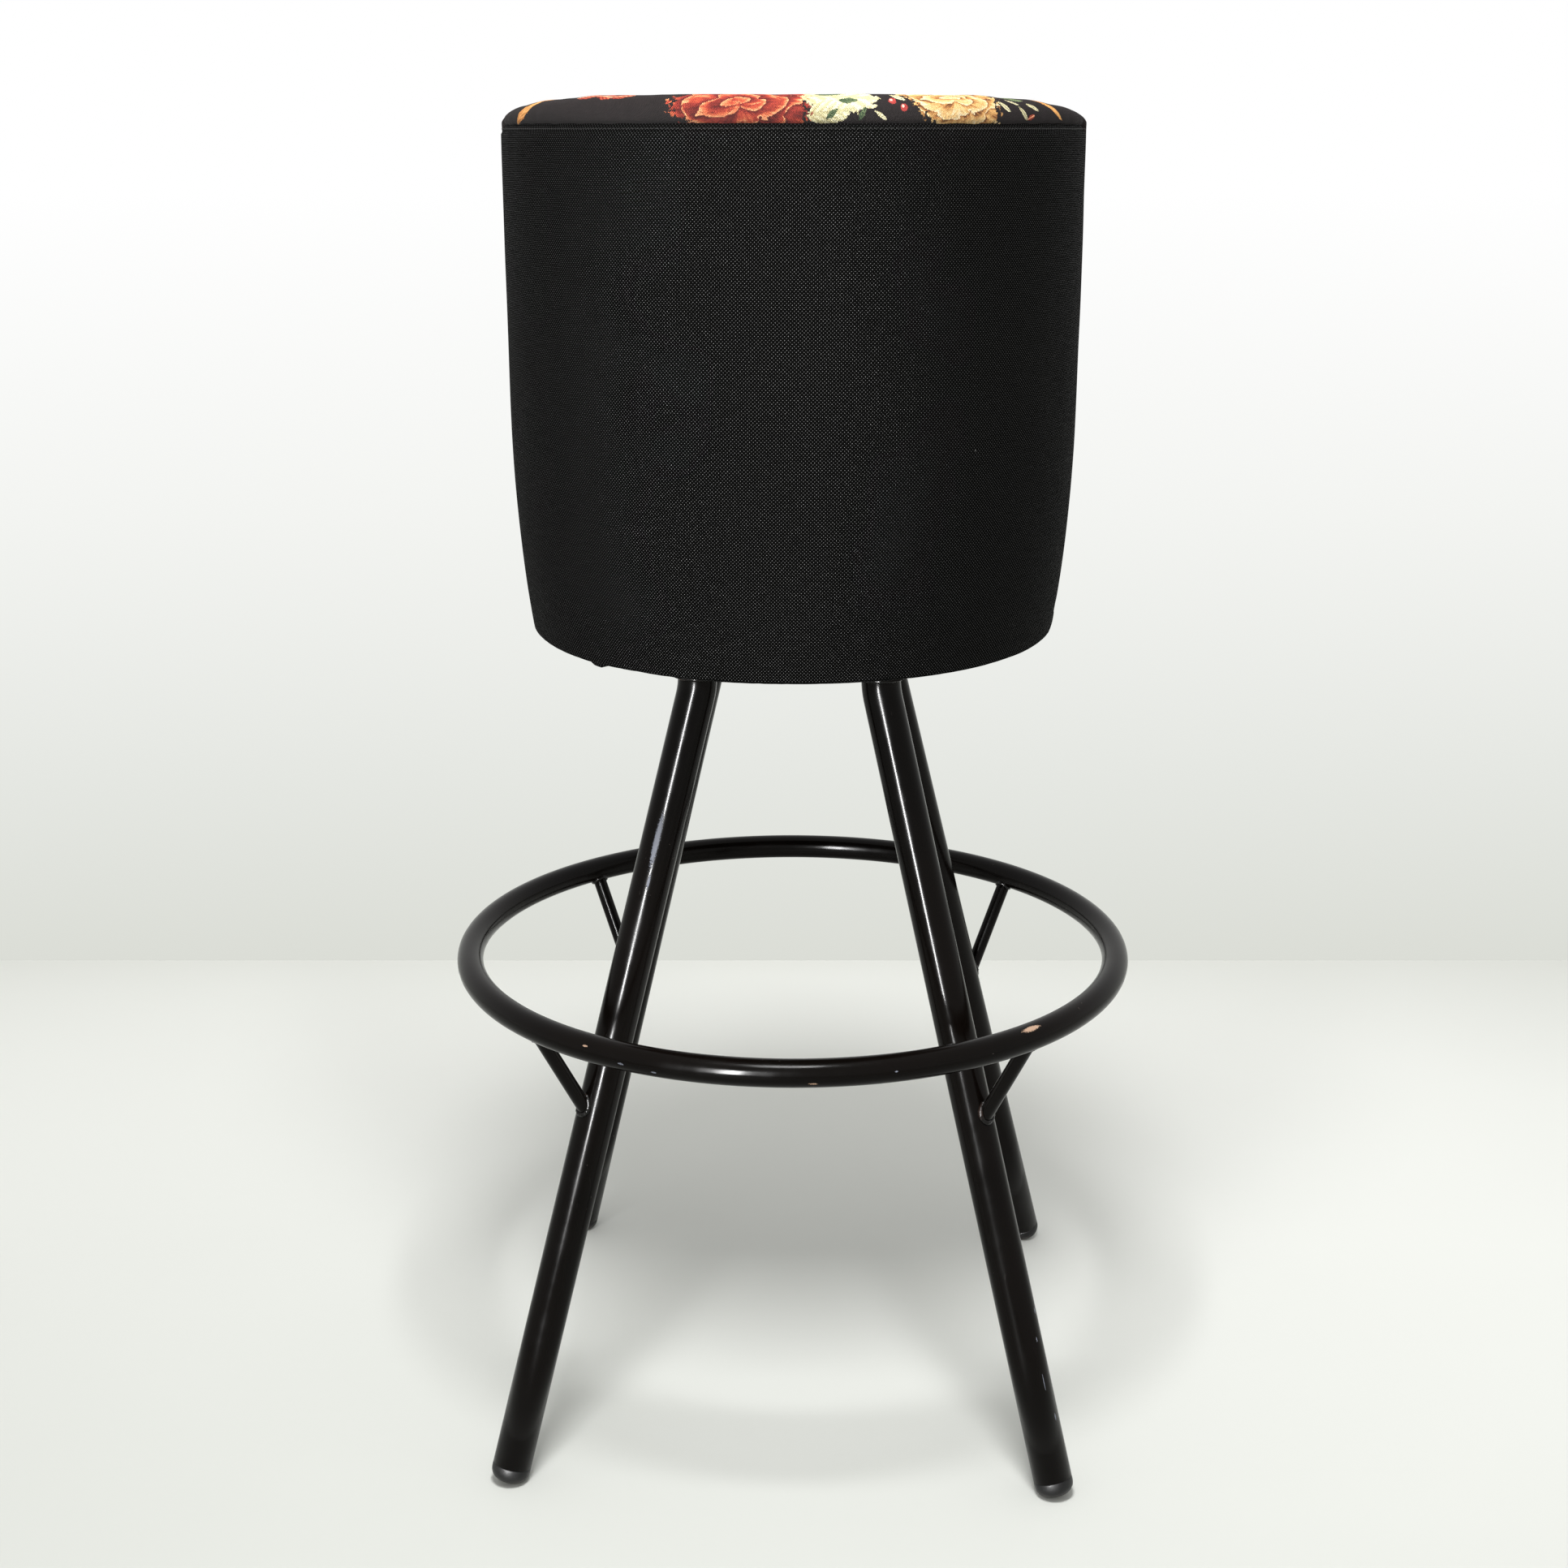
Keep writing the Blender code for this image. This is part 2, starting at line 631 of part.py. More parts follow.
def make_fasteners(zinc):
    """The bolts of the swivel and their nuts."""
    flip = Matrix.Rotation(math.pi, 4, "X")
    frame_places = places_on_circle(FRAME_BOLT_CIRCLE, 4)
    seat_places = places_on_square(SEAT_BOLT_SQUARE)

    frame_seat = Matrix.Translation((0.0, 0.0, LOWER_PLATE_TOP + GAP))
    downward = [frame_seat @ place @ flip for place in frame_places]
    make_bolts("frame_bolt", FRAME_BOLT_LENGTH, SIDES, downward, zinc)
    make_nuts("frame_nut", BASE_HEIGHT - GAP - BOLT_HEAD_HEIGHT, SIDES, frame_places, zinc)

    head_seat = Matrix.Translation((0.0, 0.0, UPPER_PLATE_BOTTOM - GAP))
    make_bolts("seat_bolt", SEAT_BOLT_LENGTH, CORNERS, [head_seat @ place for place in seat_places], zinc)

    flange_seat = Matrix.Translation((0.0, 0.0, BOARD_TOP - TEE_NUT_FLANGE))
    points = tee_nut_profile(0.0)
    points += [(BOLT_BORE, points[-1][1]), (BOLT_BORE, TEE_NUT_FLANGE)]
    nut = turned("tee_nut", points, True, zinc, steps=SMALL_STEPS)
    placed_copies(nut, CORNERS, [flange_seat @ place for place in seat_places])


def make_swivel(paint, steel, brass, nylon, zinc):
    make_plates(paint, zinc)
    make_races(steel)
    make_balls(steel)
    make_cage(brass)
    make_spindle(steel)
    make_bush(nylon)
    make_washer(steel)
    make_fasteners(zinc)


# ----------------------------------------------------------------- tub seat
def wall_heights(top, bottom):
    """The ends of a wall and the rows of the tuck between them, from the top down."""
    rows = [tuck_height(row) for row in range(TUB_ROWS + 1)]
    return [top, *[height for height in rows if bottom < height < top], bottom]


def wall_section(outer_inset, inner_inset, top, bottom):
    """Closed section of a wall that follows the tub's outside, down and back up."""
    heights = wall_heights(top, bottom)
    outside = [(tub_radius(height) - outer_inset, height) for height in heights]
    inside = [(tub_radius(height) - inner_inset, height) for height in reversed(heights)]
    return outside + inside


def screw_places():
    """Where the shell's screws stand, with +Z pointing in from the shell's outside."""
    height = SEAT_UNDERSIDE + BOARD_THICKNESS / 2
    face = tub_radius(height) - SHELL_OUTER_INSET
    inward = Matrix.Translation((face, 0.0, height)) @ Matrix.Rotation(-math.pi / 2, 4, "Y")
    places = []
    for index in range(SCREW_COUNT):
        angle = math.pi / 2 + SCREW_FAN * (index / (SCREW_COUNT - 1) - 0.5)
        places.append(Matrix.Rotation(angle, 4, "Z") @ inward)
    return places


def screw_profile(grow, head_face):
    """A flat-headed screw, point along +Z. The profile runs from the point to the head."""
    under_head = SCREW_SINK + SCREW_HEAD_THICKNESS
    return [
        (0.0, SCREW_LENGTH + grow),
        (SCREW_RADIUS + grow, SCREW_LENGTH - SCREW_RADIUS + grow),
        (SCREW_RADIUS + grow, under_head + grow),
        (SCREW_HEAD_RADIUS + grow, under_head + grow),
        (SCREW_HEAD_RADIUS + grow, head_face),
        (0.0, head_face),
    ]


def make_shell_screws(zinc):
    screw = turned("shell_screw", screw_profile(0.0, SCREW_SINK), False, zinc, steps=10)
    placed_copies(screw, range(1, SCREW_COUNT + 1), screw_places())


def screw_cutter():
    cutter = turned("screw_cutter", screw_profile(GAP, -SCREW_SINK), False, collection="cutters", steps=12)
    return joined_cutter(cutter, screw_places())


def tee_nut_cutter():
    """Bores for the tee nuts' barrels and bolts, with a recess for the flanges."""
    points = tee_nut_profile(GAP)
    clear = BOLT_RADIUS + HOLE_CLEARANCE
    top = TEE_NUT_FLANGE + 0.002
    below = -BOARD_THICKNESS
    points[0] = (points[0][0], top)
    profile = [(0.0, top), *points[:-1], (points[-1][0], points[-1][1] - GAP)]
    profile += [(clear, points[-1][1] - GAP), (clear, below), (0.0, below)]
    cutter = turned("tee_nut_cutter", profile, False, collection="cutters", steps=SMALL_STEPS)
    seat = Matrix.Translation((0.0, 0.0, BOARD_TOP - TEE_NUT_FLANGE))
    places = [seat @ place for place in places_on_square(SEAT_BOLT_SQUARE)]
    return joined_cutter(cutter, places)


def make_seat_board(wood, screws):
    """The plywood disc: recessed for the spindle's head, bored for its fasteners."""
    recess = WASHER_RADIUS + 0.003
    recess_top = SEAT_UNDERSIDE + WASHER_THICKNESS + SPINDLE_HEAD_THICKNESS + 0.002
    points = [
        (0.0, BOARD_TOP),
        (BOARD_RADIUS, BOARD_TOP),
        (BOARD_RADIUS, SEAT_UNDERSIDE),
        (recess, SEAT_UNDERSIDE),
        (recess, recess_top),
        (0.0, recess_top),
    ]
    board = turned("seat_board", points, False, wood, steps=TUB_STEPS)
    boolean(board, tee_nut_cutter())
    boolean(board, screws)


def make_cushion(floral):
    """The foam cushion in its cover: round, with a rounded and crowned top."""
    edge_centre = (CUSHION_RADIUS - CUSHION_EDGE, CUSHION_RIM - CUSHION_EDGE)
    points = [(0.0, CUSHION_RIM + CUSHION_CROWN), (CUSHION_RADIUS * 0.5, CUSHION_RIM + CUSHION_CROWN * 0.75)]
    points += arc(edge_centre, CUSHION_EDGE, 90, 0, 4)
    points += [(CUSHION_RADIUS, CUSHION_BOTTOM), (0.0, CUSHION_BOTTOM)]
    turned("seat_cushion", points, False, floral)


def make_back_shell(wood, screws, front):
    top = SEAM_HEIGHT - SHELL_TOP_DROP
    section = wall_section(SHELL_OUTER_INSET, SHELL_INNER_INSET, top, SEAT_UNDERSIDE)
    shell = turned("back_shell", section, True, wood, steps=TUB_STEPS)
    boolean(shell, front)
    boolean(shell, screws)


def make_back_cover(canvas, front):
    section = wall_section(0.0, COVER_THICKNESS, SEAM_HEIGHT, SEAT_UNDERSIDE - COVER_HANG)
    cover = turned("outer_back_cover", section, True, canvas, steps=TUB_STEPS)
    boolean(cover, front)


def pad_section():
    """Back pad with its top roll, and below it the roll before the shell's edges."""
    roll = arc((TUB_RADIUS - ROLL_RADIUS, SEAM_HEIGHT + GAP), ROLL_RADIUS, 180, 0, 8)
    foot = SEAT_UNDERSIDE
    outside = [(tub_radius(height), height) for height in wall_heights(SEAM_HEIGHT, foot)]
    below = reversed(wall_heights(PAD_BOTTOM, foot))
    inside = [(tub_radius(height) - SHELL_INNER_INSET, height) for height in below]
    return [*roll, *outside, *inside, (PAD_INSIDE, PAD_BOTTOM)]


def pocket_cutter():
    """The room that the shell and the back cover take behind the pad."""
    high = SEAM_HEIGHT + GAP
    low = SEAT_UNDERSIDE - 0.05
    beyond = TUB_RADIUS + 0.02
    heights = reversed(wall_heights(high, low))
    inside = [(tub_radius(height) - SHELL_INNER_INSET - GAP, height) for height in heights]
    points = [(beyond, high), (beyond, low), *inside]
    pocket = turned("pocket_cutter", points, True, collection="cutters", steps=TUB_STEPS)
    front = box_cutter("pocket_front", (-0.5, -0.5, 0.3), (0.5, SEAM_FRONT - GAP, 1.5))
    boolean(pocket, front)
    return mark_cutter(pocket)


def make_back_pad(floral):
    pad = turned("inside_back_pad", pad_section(), True, floral, steps=TUB_STEPS)
    nose = SEAM_FRONT - WING_ROLL
    boolean(pad, box_cutter("wing_front", (-0.5, -0.5, 0.3), (0.5, nose, 1.5)))
    boolean(pad, pocket_cutter())


def make_dust_cover(cambric):
    """The black cloth under the seat, cut out round the swivel plate."""
    outer = BOARD_RADIUS - DUST_COVER_MARGIN
    opening = rounded_square(SWIVEL_PLATE_SIDE + 0.006, PLATE_CORNER)
    outlines = [circle_points(outer, ROUND_STEPS), opening]
    bottom = SEAT_UNDERSIDE - GAP - DUST_COVER_THICKNESS
    flat_plate("dust_cover", outlines, bottom, DUST_COVER_THICKNESS, cambric)


def make_seat(wood, floral, canvas, cambric, zinc):
    """Everything that turns with the sitter above the swivel."""
    front = box_cutter("shell_front", (-0.5, -0.5, 0.3), (0.5, SEAM_FRONT, 1.5))
    screws = screw_cutter()
    make_seat_board(wood, screws)
    make_cushion(floral)
    make_back_shell(wood, screws, front)
    make_back_cover(canvas, front)
    make_back_pad(floral)
    make_shell_screws(zinc)
    make_dust_cover(cambric)


def main():
    clear_scene()
    paint = make_material("gloss_black_paint", (0.006, 0.005, 0.004), 0.12)
    rubber = make_material("black_plastic", (0.010, 0.010, 0.010), 0.45)
    steel = make_material("bearing_steel", (0.55, 0.55, 0.56), 0.22, 1.0)
    brass = make_material("cage_brass", (0.55, 0.42, 0.16), 0.35, 1.0)
    nylon = make_material("bush_nylon", (0.75, 0.73, 0.66), 0.50)
    zinc = make_material("zinc_plate", (0.50, 0.50, 0.48), 0.38, 1.0)
    wood = make_material("birch_plywood", (0.52, 0.36, 0.20), 0.60)
    floral = make_material("floral_tapestry", (0.10, 0.030, 0.018), 0.90)
    canvas = make_material("black_canvas", (0.010, 0.010, 0.010), 0.90)
    cambric = make_material("black_cambric", (0.012, 0.012, 0.012), 0.95)
    make_base(paint, rubber)
    make_swivel(paint, steel, brass, nylon, zinc)
    make_seat(wood, floral, canvas, cambric, zinc)


main()
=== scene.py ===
"""Looks of the swivel bar stool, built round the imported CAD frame.

Metres, +Z up. The sitter faces -Y, and +X is the sitter's left.
An angle round the tub counts from +Y, the middle of the back, towards -X.
"""
import math

import bmesh
import bpy
import numpy as np
from mathutils import Matrix
from mathutils import Vector
from mathutils import noise


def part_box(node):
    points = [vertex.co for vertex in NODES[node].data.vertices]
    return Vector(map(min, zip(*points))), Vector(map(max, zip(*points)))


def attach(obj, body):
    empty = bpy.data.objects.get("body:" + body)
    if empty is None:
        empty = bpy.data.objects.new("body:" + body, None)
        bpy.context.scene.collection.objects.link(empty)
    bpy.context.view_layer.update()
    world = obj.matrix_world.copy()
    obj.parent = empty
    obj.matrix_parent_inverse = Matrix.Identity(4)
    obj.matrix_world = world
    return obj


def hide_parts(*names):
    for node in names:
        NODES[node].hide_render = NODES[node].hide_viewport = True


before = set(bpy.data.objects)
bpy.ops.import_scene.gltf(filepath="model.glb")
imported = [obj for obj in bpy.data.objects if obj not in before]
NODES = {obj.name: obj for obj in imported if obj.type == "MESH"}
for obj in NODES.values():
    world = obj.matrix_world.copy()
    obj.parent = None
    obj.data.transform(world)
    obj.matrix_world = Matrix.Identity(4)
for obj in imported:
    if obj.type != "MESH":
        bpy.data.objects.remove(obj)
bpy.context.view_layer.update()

# ------------------------------------------------------- sizes from the frame
CORNERS = ("rear_left", "rear_right", "front_left", "front_right")
UV = "metres"  # the UV map of every woven or painted piece, in metres
NEAR = 0.0002  # tolerance when CAD corners are picked by their height or radius


def node_points(node):
    """The corners of a CAD node's mesh, as an array."""
    return np.array([vertex.co for vertex in NODES[node].data.vertices], float)


def radii(points):
    """Distances from the swivel axis."""
    return np.hypot(points[:, 0], points[:, 1])


cover_points = node_points("outer_back_cover")
pad_points = node_points("inside_back_pad")
cover_low, cover_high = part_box("outer_back_cover")
pad_low, pad_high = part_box("inside_back_pad")
shell_low, shell_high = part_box("back_shell")
board_low, board_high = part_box("seat_board")
cushion_low, cushion_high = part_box("seat_cushion")
ring_low, ring_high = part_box("foot_ring")

TUB_RADIUS = cover_high.y
SEAM_HEIGHT = cover_high.z
SEAM_FRONT = cover_low.y
HEM_HEIGHT = cover_low.z
SEAT_UNDERSIDE = board_low.z
FIT_GAP = 0.0003  # between CAD pieces that rest on each other
ROLL_RADIUS = pad_high.z - SEAM_HEIGHT - FIT_GAP
MIDDLE_RADIUS = TUB_RADIUS - ROLL_RADIUS  # of the sheet midway through the tub's wall
PAD_INSIDE = TUB_RADIUS - 2 * ROLL_RADIUS
PAD_BOTTOM = pad_points[radii(pad_points) < PAD_INSIDE + NEAR][:, 2].min()
TUCK = TUB_RADIUS - radii(cover_points[cover_points[:, 2] < HEM_HEIGHT + NEAR]).max()
TUCK_HEIGHT = 0.224  # the tub draws in below this height above the seat
TUCK_POWER = 2.5
SHELL_BOTTOM = shell_low.z
SHELL_TOP = shell_high.z
BOARD_RADIUS = board_high.y
BOARD_TOP = board_high.z
CUSHION_RADIUS = cushion_high.y
CUSHION_TOP = cushion_high.z
CUSHION_BOTTOM = cushion_low.z
SHELL_BACKING = 0.0138  # from the tub's outside to the back of the pad, past the shell
CANVAS_THICKNESS = 0.0013

RING_TUBE = ring_high.z - ring_low.z
RING_HEIGHT = (ring_high.z + ring_low.z) / 2
RING_RADIUS = ring_high.x - RING_TUBE / 2
LEG_RADIUS = 0.0159
LEG_UPRIGHT = 0.0097  # above the middle of the leg's bend
BEND_REACH = 0.0085  # from the middle of the bend to each of its ends
FOOT_SLICE = 0.012  # height of the slice that holds a leg's lower end
STRUT_RADIUS = 0.006
STRUT_DROP = 0.0995  # from the ring's centre line down to the strut's axis on the leg


def at(angle, radius, height):
    """A point round the tub; the angle counts from +Y towards -X."""
    return (-radius * math.sin(angle), radius * math.cos(angle), height)


def smooth_step(low, high, value):
    """0 at low, 1 at high and eased between them."""
    share = min(1.0, max(0.0, (value - low) / (high - low)))
    return share * share * (3 - 2 * share)


def tub_radius(height):
    """Outer radius of the tub: upright above, drawn in towards its lower edge."""
    down = max(0.0, SEAT_UNDERSIDE + TUCK_HEIGHT - height) / TUCK_HEIGHT
    return TUB_RADIUS - TUCK * min(down, 1.0) ** TUCK_POWER


# ------------------------------------------------------------ mesh functions
def grid_mesh(name, points, uvs, closed=(False, False), caps=False):
    """A mesh over a grid of points (rows, columns, 3), with its UVs in metres.

    A direction that closes needs one more row or column of UVs than of points.
    """
    rows, columns = points.shape[:2]
    faces = []
    loops = []
    for i in range(rows if closed[0] else rows - 1):
        for j in range(columns if closed[1] else columns - 1):
            quad = ((i, j), (i, j + 1), (i + 1, j + 1), (i + 1, j))
            faces.append([(a % rows) * columns + b % columns for a, b in quad])
            loops += [uvs[a, b] for a, b in quad]
    if caps:
        for row, order in ((0, 1), (rows - 1, -1)):
            ring = [(row, j) for j in range(columns)][::-order]
            faces.append([a * columns + b for a, b in ring])
            loops += [uvs[a, b] for a, b in ring]
    mesh = bpy.data.meshes.new(name)
    mesh.from_pydata(points.reshape(-1, 3).tolist(), [], faces)
    layer = mesh.uv_layers.new(name=UV)
    layer.data.foreach_set("uv", np.array(loops, np.float32).ravel())
    bm = bmesh.new()
    bm.from_mesh(mesh)
    bmesh.ops.recalc_face_normals(bm, faces=bm.faces)
    bm.to_mesh(mesh)
    bm.free()
    mesh.shade_smooth()
    return mesh


def add_piece(name, mesh, material, body, replaces=()):
    """Put a mesh in the scene, on its body and material slot, in place of CAD nodes."""
    piece = bpy.data.objects.new(name, mesh)
    bpy.context.scene.collection.objects.link(piece)
    mesh.materials.append(material)
    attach(piece, body)
    if replaces:
        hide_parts(*replaces)
    return piece


def subdivide(piece):
    """Round the piece with one level of subdivision."""
    modifier = piece.modifiers.new("smooth", "SUBSURF")
    modifier.levels = 1
    modifier.render_levels = 1


def thicken(piece, thickness):
    """Give a sheet its cloth's thickness, half of it on each side."""
    modifier = piece.modifiers.new("cloth", "SOLIDIFY")
    modifier.thickness = thickness
    modifier.offset = 0.0


def path_frames(path, toward, closed=False):
    """Tangent and two normals at each path point; the first normal starts towards a direction."""
    path = [Vector(point) for point in path]
    count = len(path)
    frames = []
    normal = Vector(toward)
    for index in range(count):
        before = path[(index - 1) % count] if closed or index else path[0]
        after = path[(index + 1) % count] if closed or index < count - 1 else path[-1]
        tangent = (after - before).normalized()
        normal = (normal - tangent * normal.dot(tangent)).normalized()
        frames.append((path[index], tangent, normal, tangent.cross(normal)))
    return frames


def sweep_mesh(name, path, radius, sides, toward, closed=False, caps=False, along=0.0):
    """A round tube along a path. radius is a number or a function of (index, angle)."""
    frames = path_frames(path, toward, closed)
    rows = len(frames)
    reach = radius if callable(radius) else (lambda index, angle: radius)
    points = np.zeros((rows, sides, 3))
    uvs = np.zeros((rows + closed, sides + 1, 2))
    length = along
    for index in range(rows + closed):
        place, _, normal, side = frames[index % rows]
        if index:
            length += (place - frames[index - 1][0]).length
        for step in range(sides + 1):
            angle = math.tau * step / sides
            size = reach(index % rows, angle)
            if step < sides and index < rows:
                points[index, step] = place + (normal * math.cos(angle) + side * math.sin(angle)) * size
            uvs[index, step] = (angle * size, length)
    return grid_mesh(name, points, uvs, (closed, True), caps)


def turned_mesh(name, profile, steps, place):
    """Turn (radius, height) pairs about Z, then move the form to its place."""
    rows = len(profile)
    points = np.zeros((rows, steps, 3))
    uvs = np.zeros((rows, steps + 1, 2))
    length = 0.0
    for index, (radius, height) in enumerate(profile):
        if index:
            length += math.dist(profile[index], profile[index - 1])
        for step in range(steps + 1):
            angle = math.tau * step / steps
            if step < steps:
                points[index, step] = (radius * math.cos(angle), radius * math.sin(angle), height)
            uvs[index, step] = (angle * max(radius, 0.001), length)
    mesh = grid_mesh(name, points, uvs, (False, True))
    mesh.transform(place)
    return mesh


def arc(centre, radius, start, end, steps):
    """Points of an arc in the plane, angles in degrees."""
    turn = [math.radians(start + (end - start) * index / steps) for index in range(steps + 1)]
    return [(centre[0] + radius * math.cos(a), centre[1] + radius * math.sin(a)) for a in turn]


def weld_mesh(mesh):
    """Merge the points that share a place, and turn the faces outwards."""
    bm = bmesh.new()
    bm.from_mesh(mesh)
    bmesh.ops.remove_doubles(bm, verts=bm.verts, dist=0.00002)
    bmesh.ops.recalc_face_normals(bm, faces=bm.faces)
    bm.to_mesh(mesh)
    bm.free()


# -------------------------------------------------------- material functions
def srgb(red, green, blue):
    """Linear colour of an 8-bit display colour."""
    shares = (red / 255, green / 255, blue / 255)
    return tuple(((c + 0.055) / 1.055) ** 2.4 if c > 10 / 255 else c / 12.92 for c in shares)


class Graph:
    """A material's node tree, with short calls for the nodes used here."""

    def __init__(self, name):
        self.material = bpy.data.materials.new(name)
        self.material.use_nodes = True
        self.tree = self.material.node_tree
        self.shader = self.tree.nodes["Principled BSDF"]

    def add(self, kind, **settings):
        node = self.tree.nodes.new("ShaderNode" + kind)
        for key, value in settings.items():
            setattr(node, key, value)
        return node

    def feed(self, socket, value):
        """Link a socket to another, or set its value."""
        if isinstance(value, bpy.types.NodeSocket):
            self.tree.links.new(value, socket)
        elif value is not None:
            if socket.type == "RGBA" and len(value) == 3:
                value = (*value, 1.0)
            socket.default_value = value

    def set(self, **sockets):
        """Sets or links sockets of the Principled shader: words are joined by _."""
        for name, value in sockets.items():
            self.feed(self.shader.inputs[name.replace("_", " ")], value)

    def uv(self):
        return self.add("UVMap", uv_map=UV).outputs["UV"]

    def place(self):
        return self.add("TexCoord").outputs["Object"]

    def split(self, vector):
        return self.link("SeparateXYZ", {"Vector": vector}).outputs

    def join(self, x, y, z=0.0):
        return self.link("CombineXYZ", {"X": x, "Y": y, "Z": z}).outputs[0]

    def link(self, kind, inputs, **settings):
        node = self.add(kind, **settings)
        for name, value in inputs.items():
            self.feed(node.inputs[name], value)
        return node

    def math(self, operation, a, b=None, c=None, clamp=False):
        node = self.add("Math", operation=operation, use_clamp=clamp)
        for socket, value in zip(node.inputs, (a, b, c)):
            self.feed(socket, value)
        return node.outputs[0]

    def times(self, a, b):
        return self.math("MULTIPLY", a, b)

    def plus(self, a, b):
        return self.math("ADD", a, b)

    def minus(self, a, b):
        return self.math("SUBTRACT", a, b)

    def vector(self, operation, a, b=None, scale=None):
        node = self.add("VectorMath", operation=operation)
        self.feed(node.inputs[0], a)
        self.feed(node.inputs[1], b)
        if scale is not None:
            self.feed(node.inputs["Scale"], scale)
        return node.outputs["Value"] if operation in ("LENGTH", "DOT_PRODUCT") else node.outputs[0]

    def mix(self, share, a, b, blend="MIX"):
        node = self.add("Mix", data_type="RGBA", blend_type=blend)
        for index, value in ((0, share), (6, a), (7, b)):
            self.feed(node.inputs[index], value)
        return node.outputs[2]

    def blend_number(self, share, a, b):
        return self.math("MULTIPLY_ADD", share, self.minus(b, a), a)

    def span(self, value, low, high, to_low=0.0, to_high=1.0):
        """Smooth step of value from low to high."""
        inputs = {"Value": value, "From Min": low, "From Max": high, "To Min": to_low, "To Max": to_high}
        return self.link("MapRange", inputs, interpolation_type="SMOOTHSTEP").outputs[0]

    def noise(self, vector, scale, detail=2.0, roughness=0.5, distortion=0.0):
        inputs = {"Vector": vector, "Scale": scale, "Detail": detail,
                  "Roughness": roughness, "Distortion": distortion}
        return self.link("TexNoise", inputs).outputs["Fac"]

    def ramp(self, value, stops, interpolation="LINEAR"):
        node = self.link("ValToRGB", {"Fac": value})
        ramp = node.color_ramp
        ramp.interpolation = interpolation
        while len(ramp.elements) < len(stops):
            ramp.elements.new(0.5)
        for element, (position, colour) in zip(ramp.elements, stops):
            element.position = position
            element.color = (*colour, 1.0)
        return node.outputs["Color"]

    def bump(self, height, distance, strength=1.0, normal=None):
        inputs = {"Height": height, "Distance": distance, "Strength": strength, "Normal": normal}
        return self.link("Bump", inputs).outputs["Normal"]

    def local(self, vector, centre, size, angle=0.0):
        """Coordinates in a motif's own frame, 1 at the ends of its half axes."""
        node = self.add("Mapping", vector_type="TEXTURE")
        self.feed(node.inputs["Vector"], vector)
        node.inputs["Location"].default_value = (*centre, 0.0)
        node.inputs["Rotation"].default_value = (0.0, 0.0, math.radians(angle))
        node.inputs["Scale"].default_value = (*size, 1.0)
        return node.outputs[0]


# ------------------------------------------------------------------ paint
LEG_UV_STEP = 1.0  # each leg has its own stretch of the paint's UVs
RING_UV = 10.0
STRUT_UV = 20.0
BARE_STEEL = srgb(128, 132, 146)
PRIMER = srgb(176, 146, 124)
RUST = srgb(120, 62, 34)


def chip(graph, uv, centre, half, jagged):
    """Mask of one chip in the paint, with a jagged edge."""
    spot = graph.vector("LENGTH", graph.local(uv, centre, half))
    return graph.span(graph.plus(spot, jagged), 1.0, 0.86)


def leg_spot(leg, angle, along, length, width, colour):
    """A chip on a leg: angle in degrees round the tube, along in metres up from its lower end."""
    centre = (math.radians(angle % 360) * LEG_RADIUS, CORNERS.index(leg) * LEG_UV_STEP + along)
    return centre, (width / 2, length / 2), colour


def ring_spot(angle, around, length, width, colour):
    """A chip on the ring: angle in degrees from +Y towards -X, around from the tube's outer side up."""
    centre = (math.radians(around % 360) * RING_TUBE / 2, RING_UV + math.radians(angle % 360) * RING_RADIUS)
    return centre, (width / 2, length / 2), colour


PAINT_CHIPS = [
    leg_spot("rear_left", 36, 0.532, 0.046, 0.0050, BARE_STEEL),
    leg_spot("rear_left", 41, 0.498, 0.012, 0.0022, BARE_STEEL),
    leg_spot("rear_right", 10, 0.052, 0.006, 0.0016, BARE_STEEL),
    leg_spot("rear_right", -6, 0.083, 0.014, 0.0008, BARE_STEEL),
    leg_spot("rear_right", 24, 0.140, 0.005, 0.0012, BARE_STEEL),
    leg_spot("rear_right", 2, 0.118, 0.004, 0.0010, BARE_STEEL),
    ring_spot(43.3, 62, 0.0185, 0.0046, PRIMER),
    ring_spot(-31.3, 30, 0.0050, 0.0016, PRIMER),
    ring_spot(-24.6, -8, 0.0052, 0.0016, BARE_STEEL),
    ring_spot(-19.0, -20, 0.0046, 0.0014, BARE_STEEL),
    ring_spot(5.4, -24, 0.0070, 0.0016, PRIMER),
    ring_spot(18.0, 8, 0.0030, 0.0012, BARE_STEEL),
    ring_spot(138.0, 20, 0.0080, 0.0024, BARE_STEEL),
    ring_spot(214.0, 40, 0.0110, 0.0024, PRIMER),
]


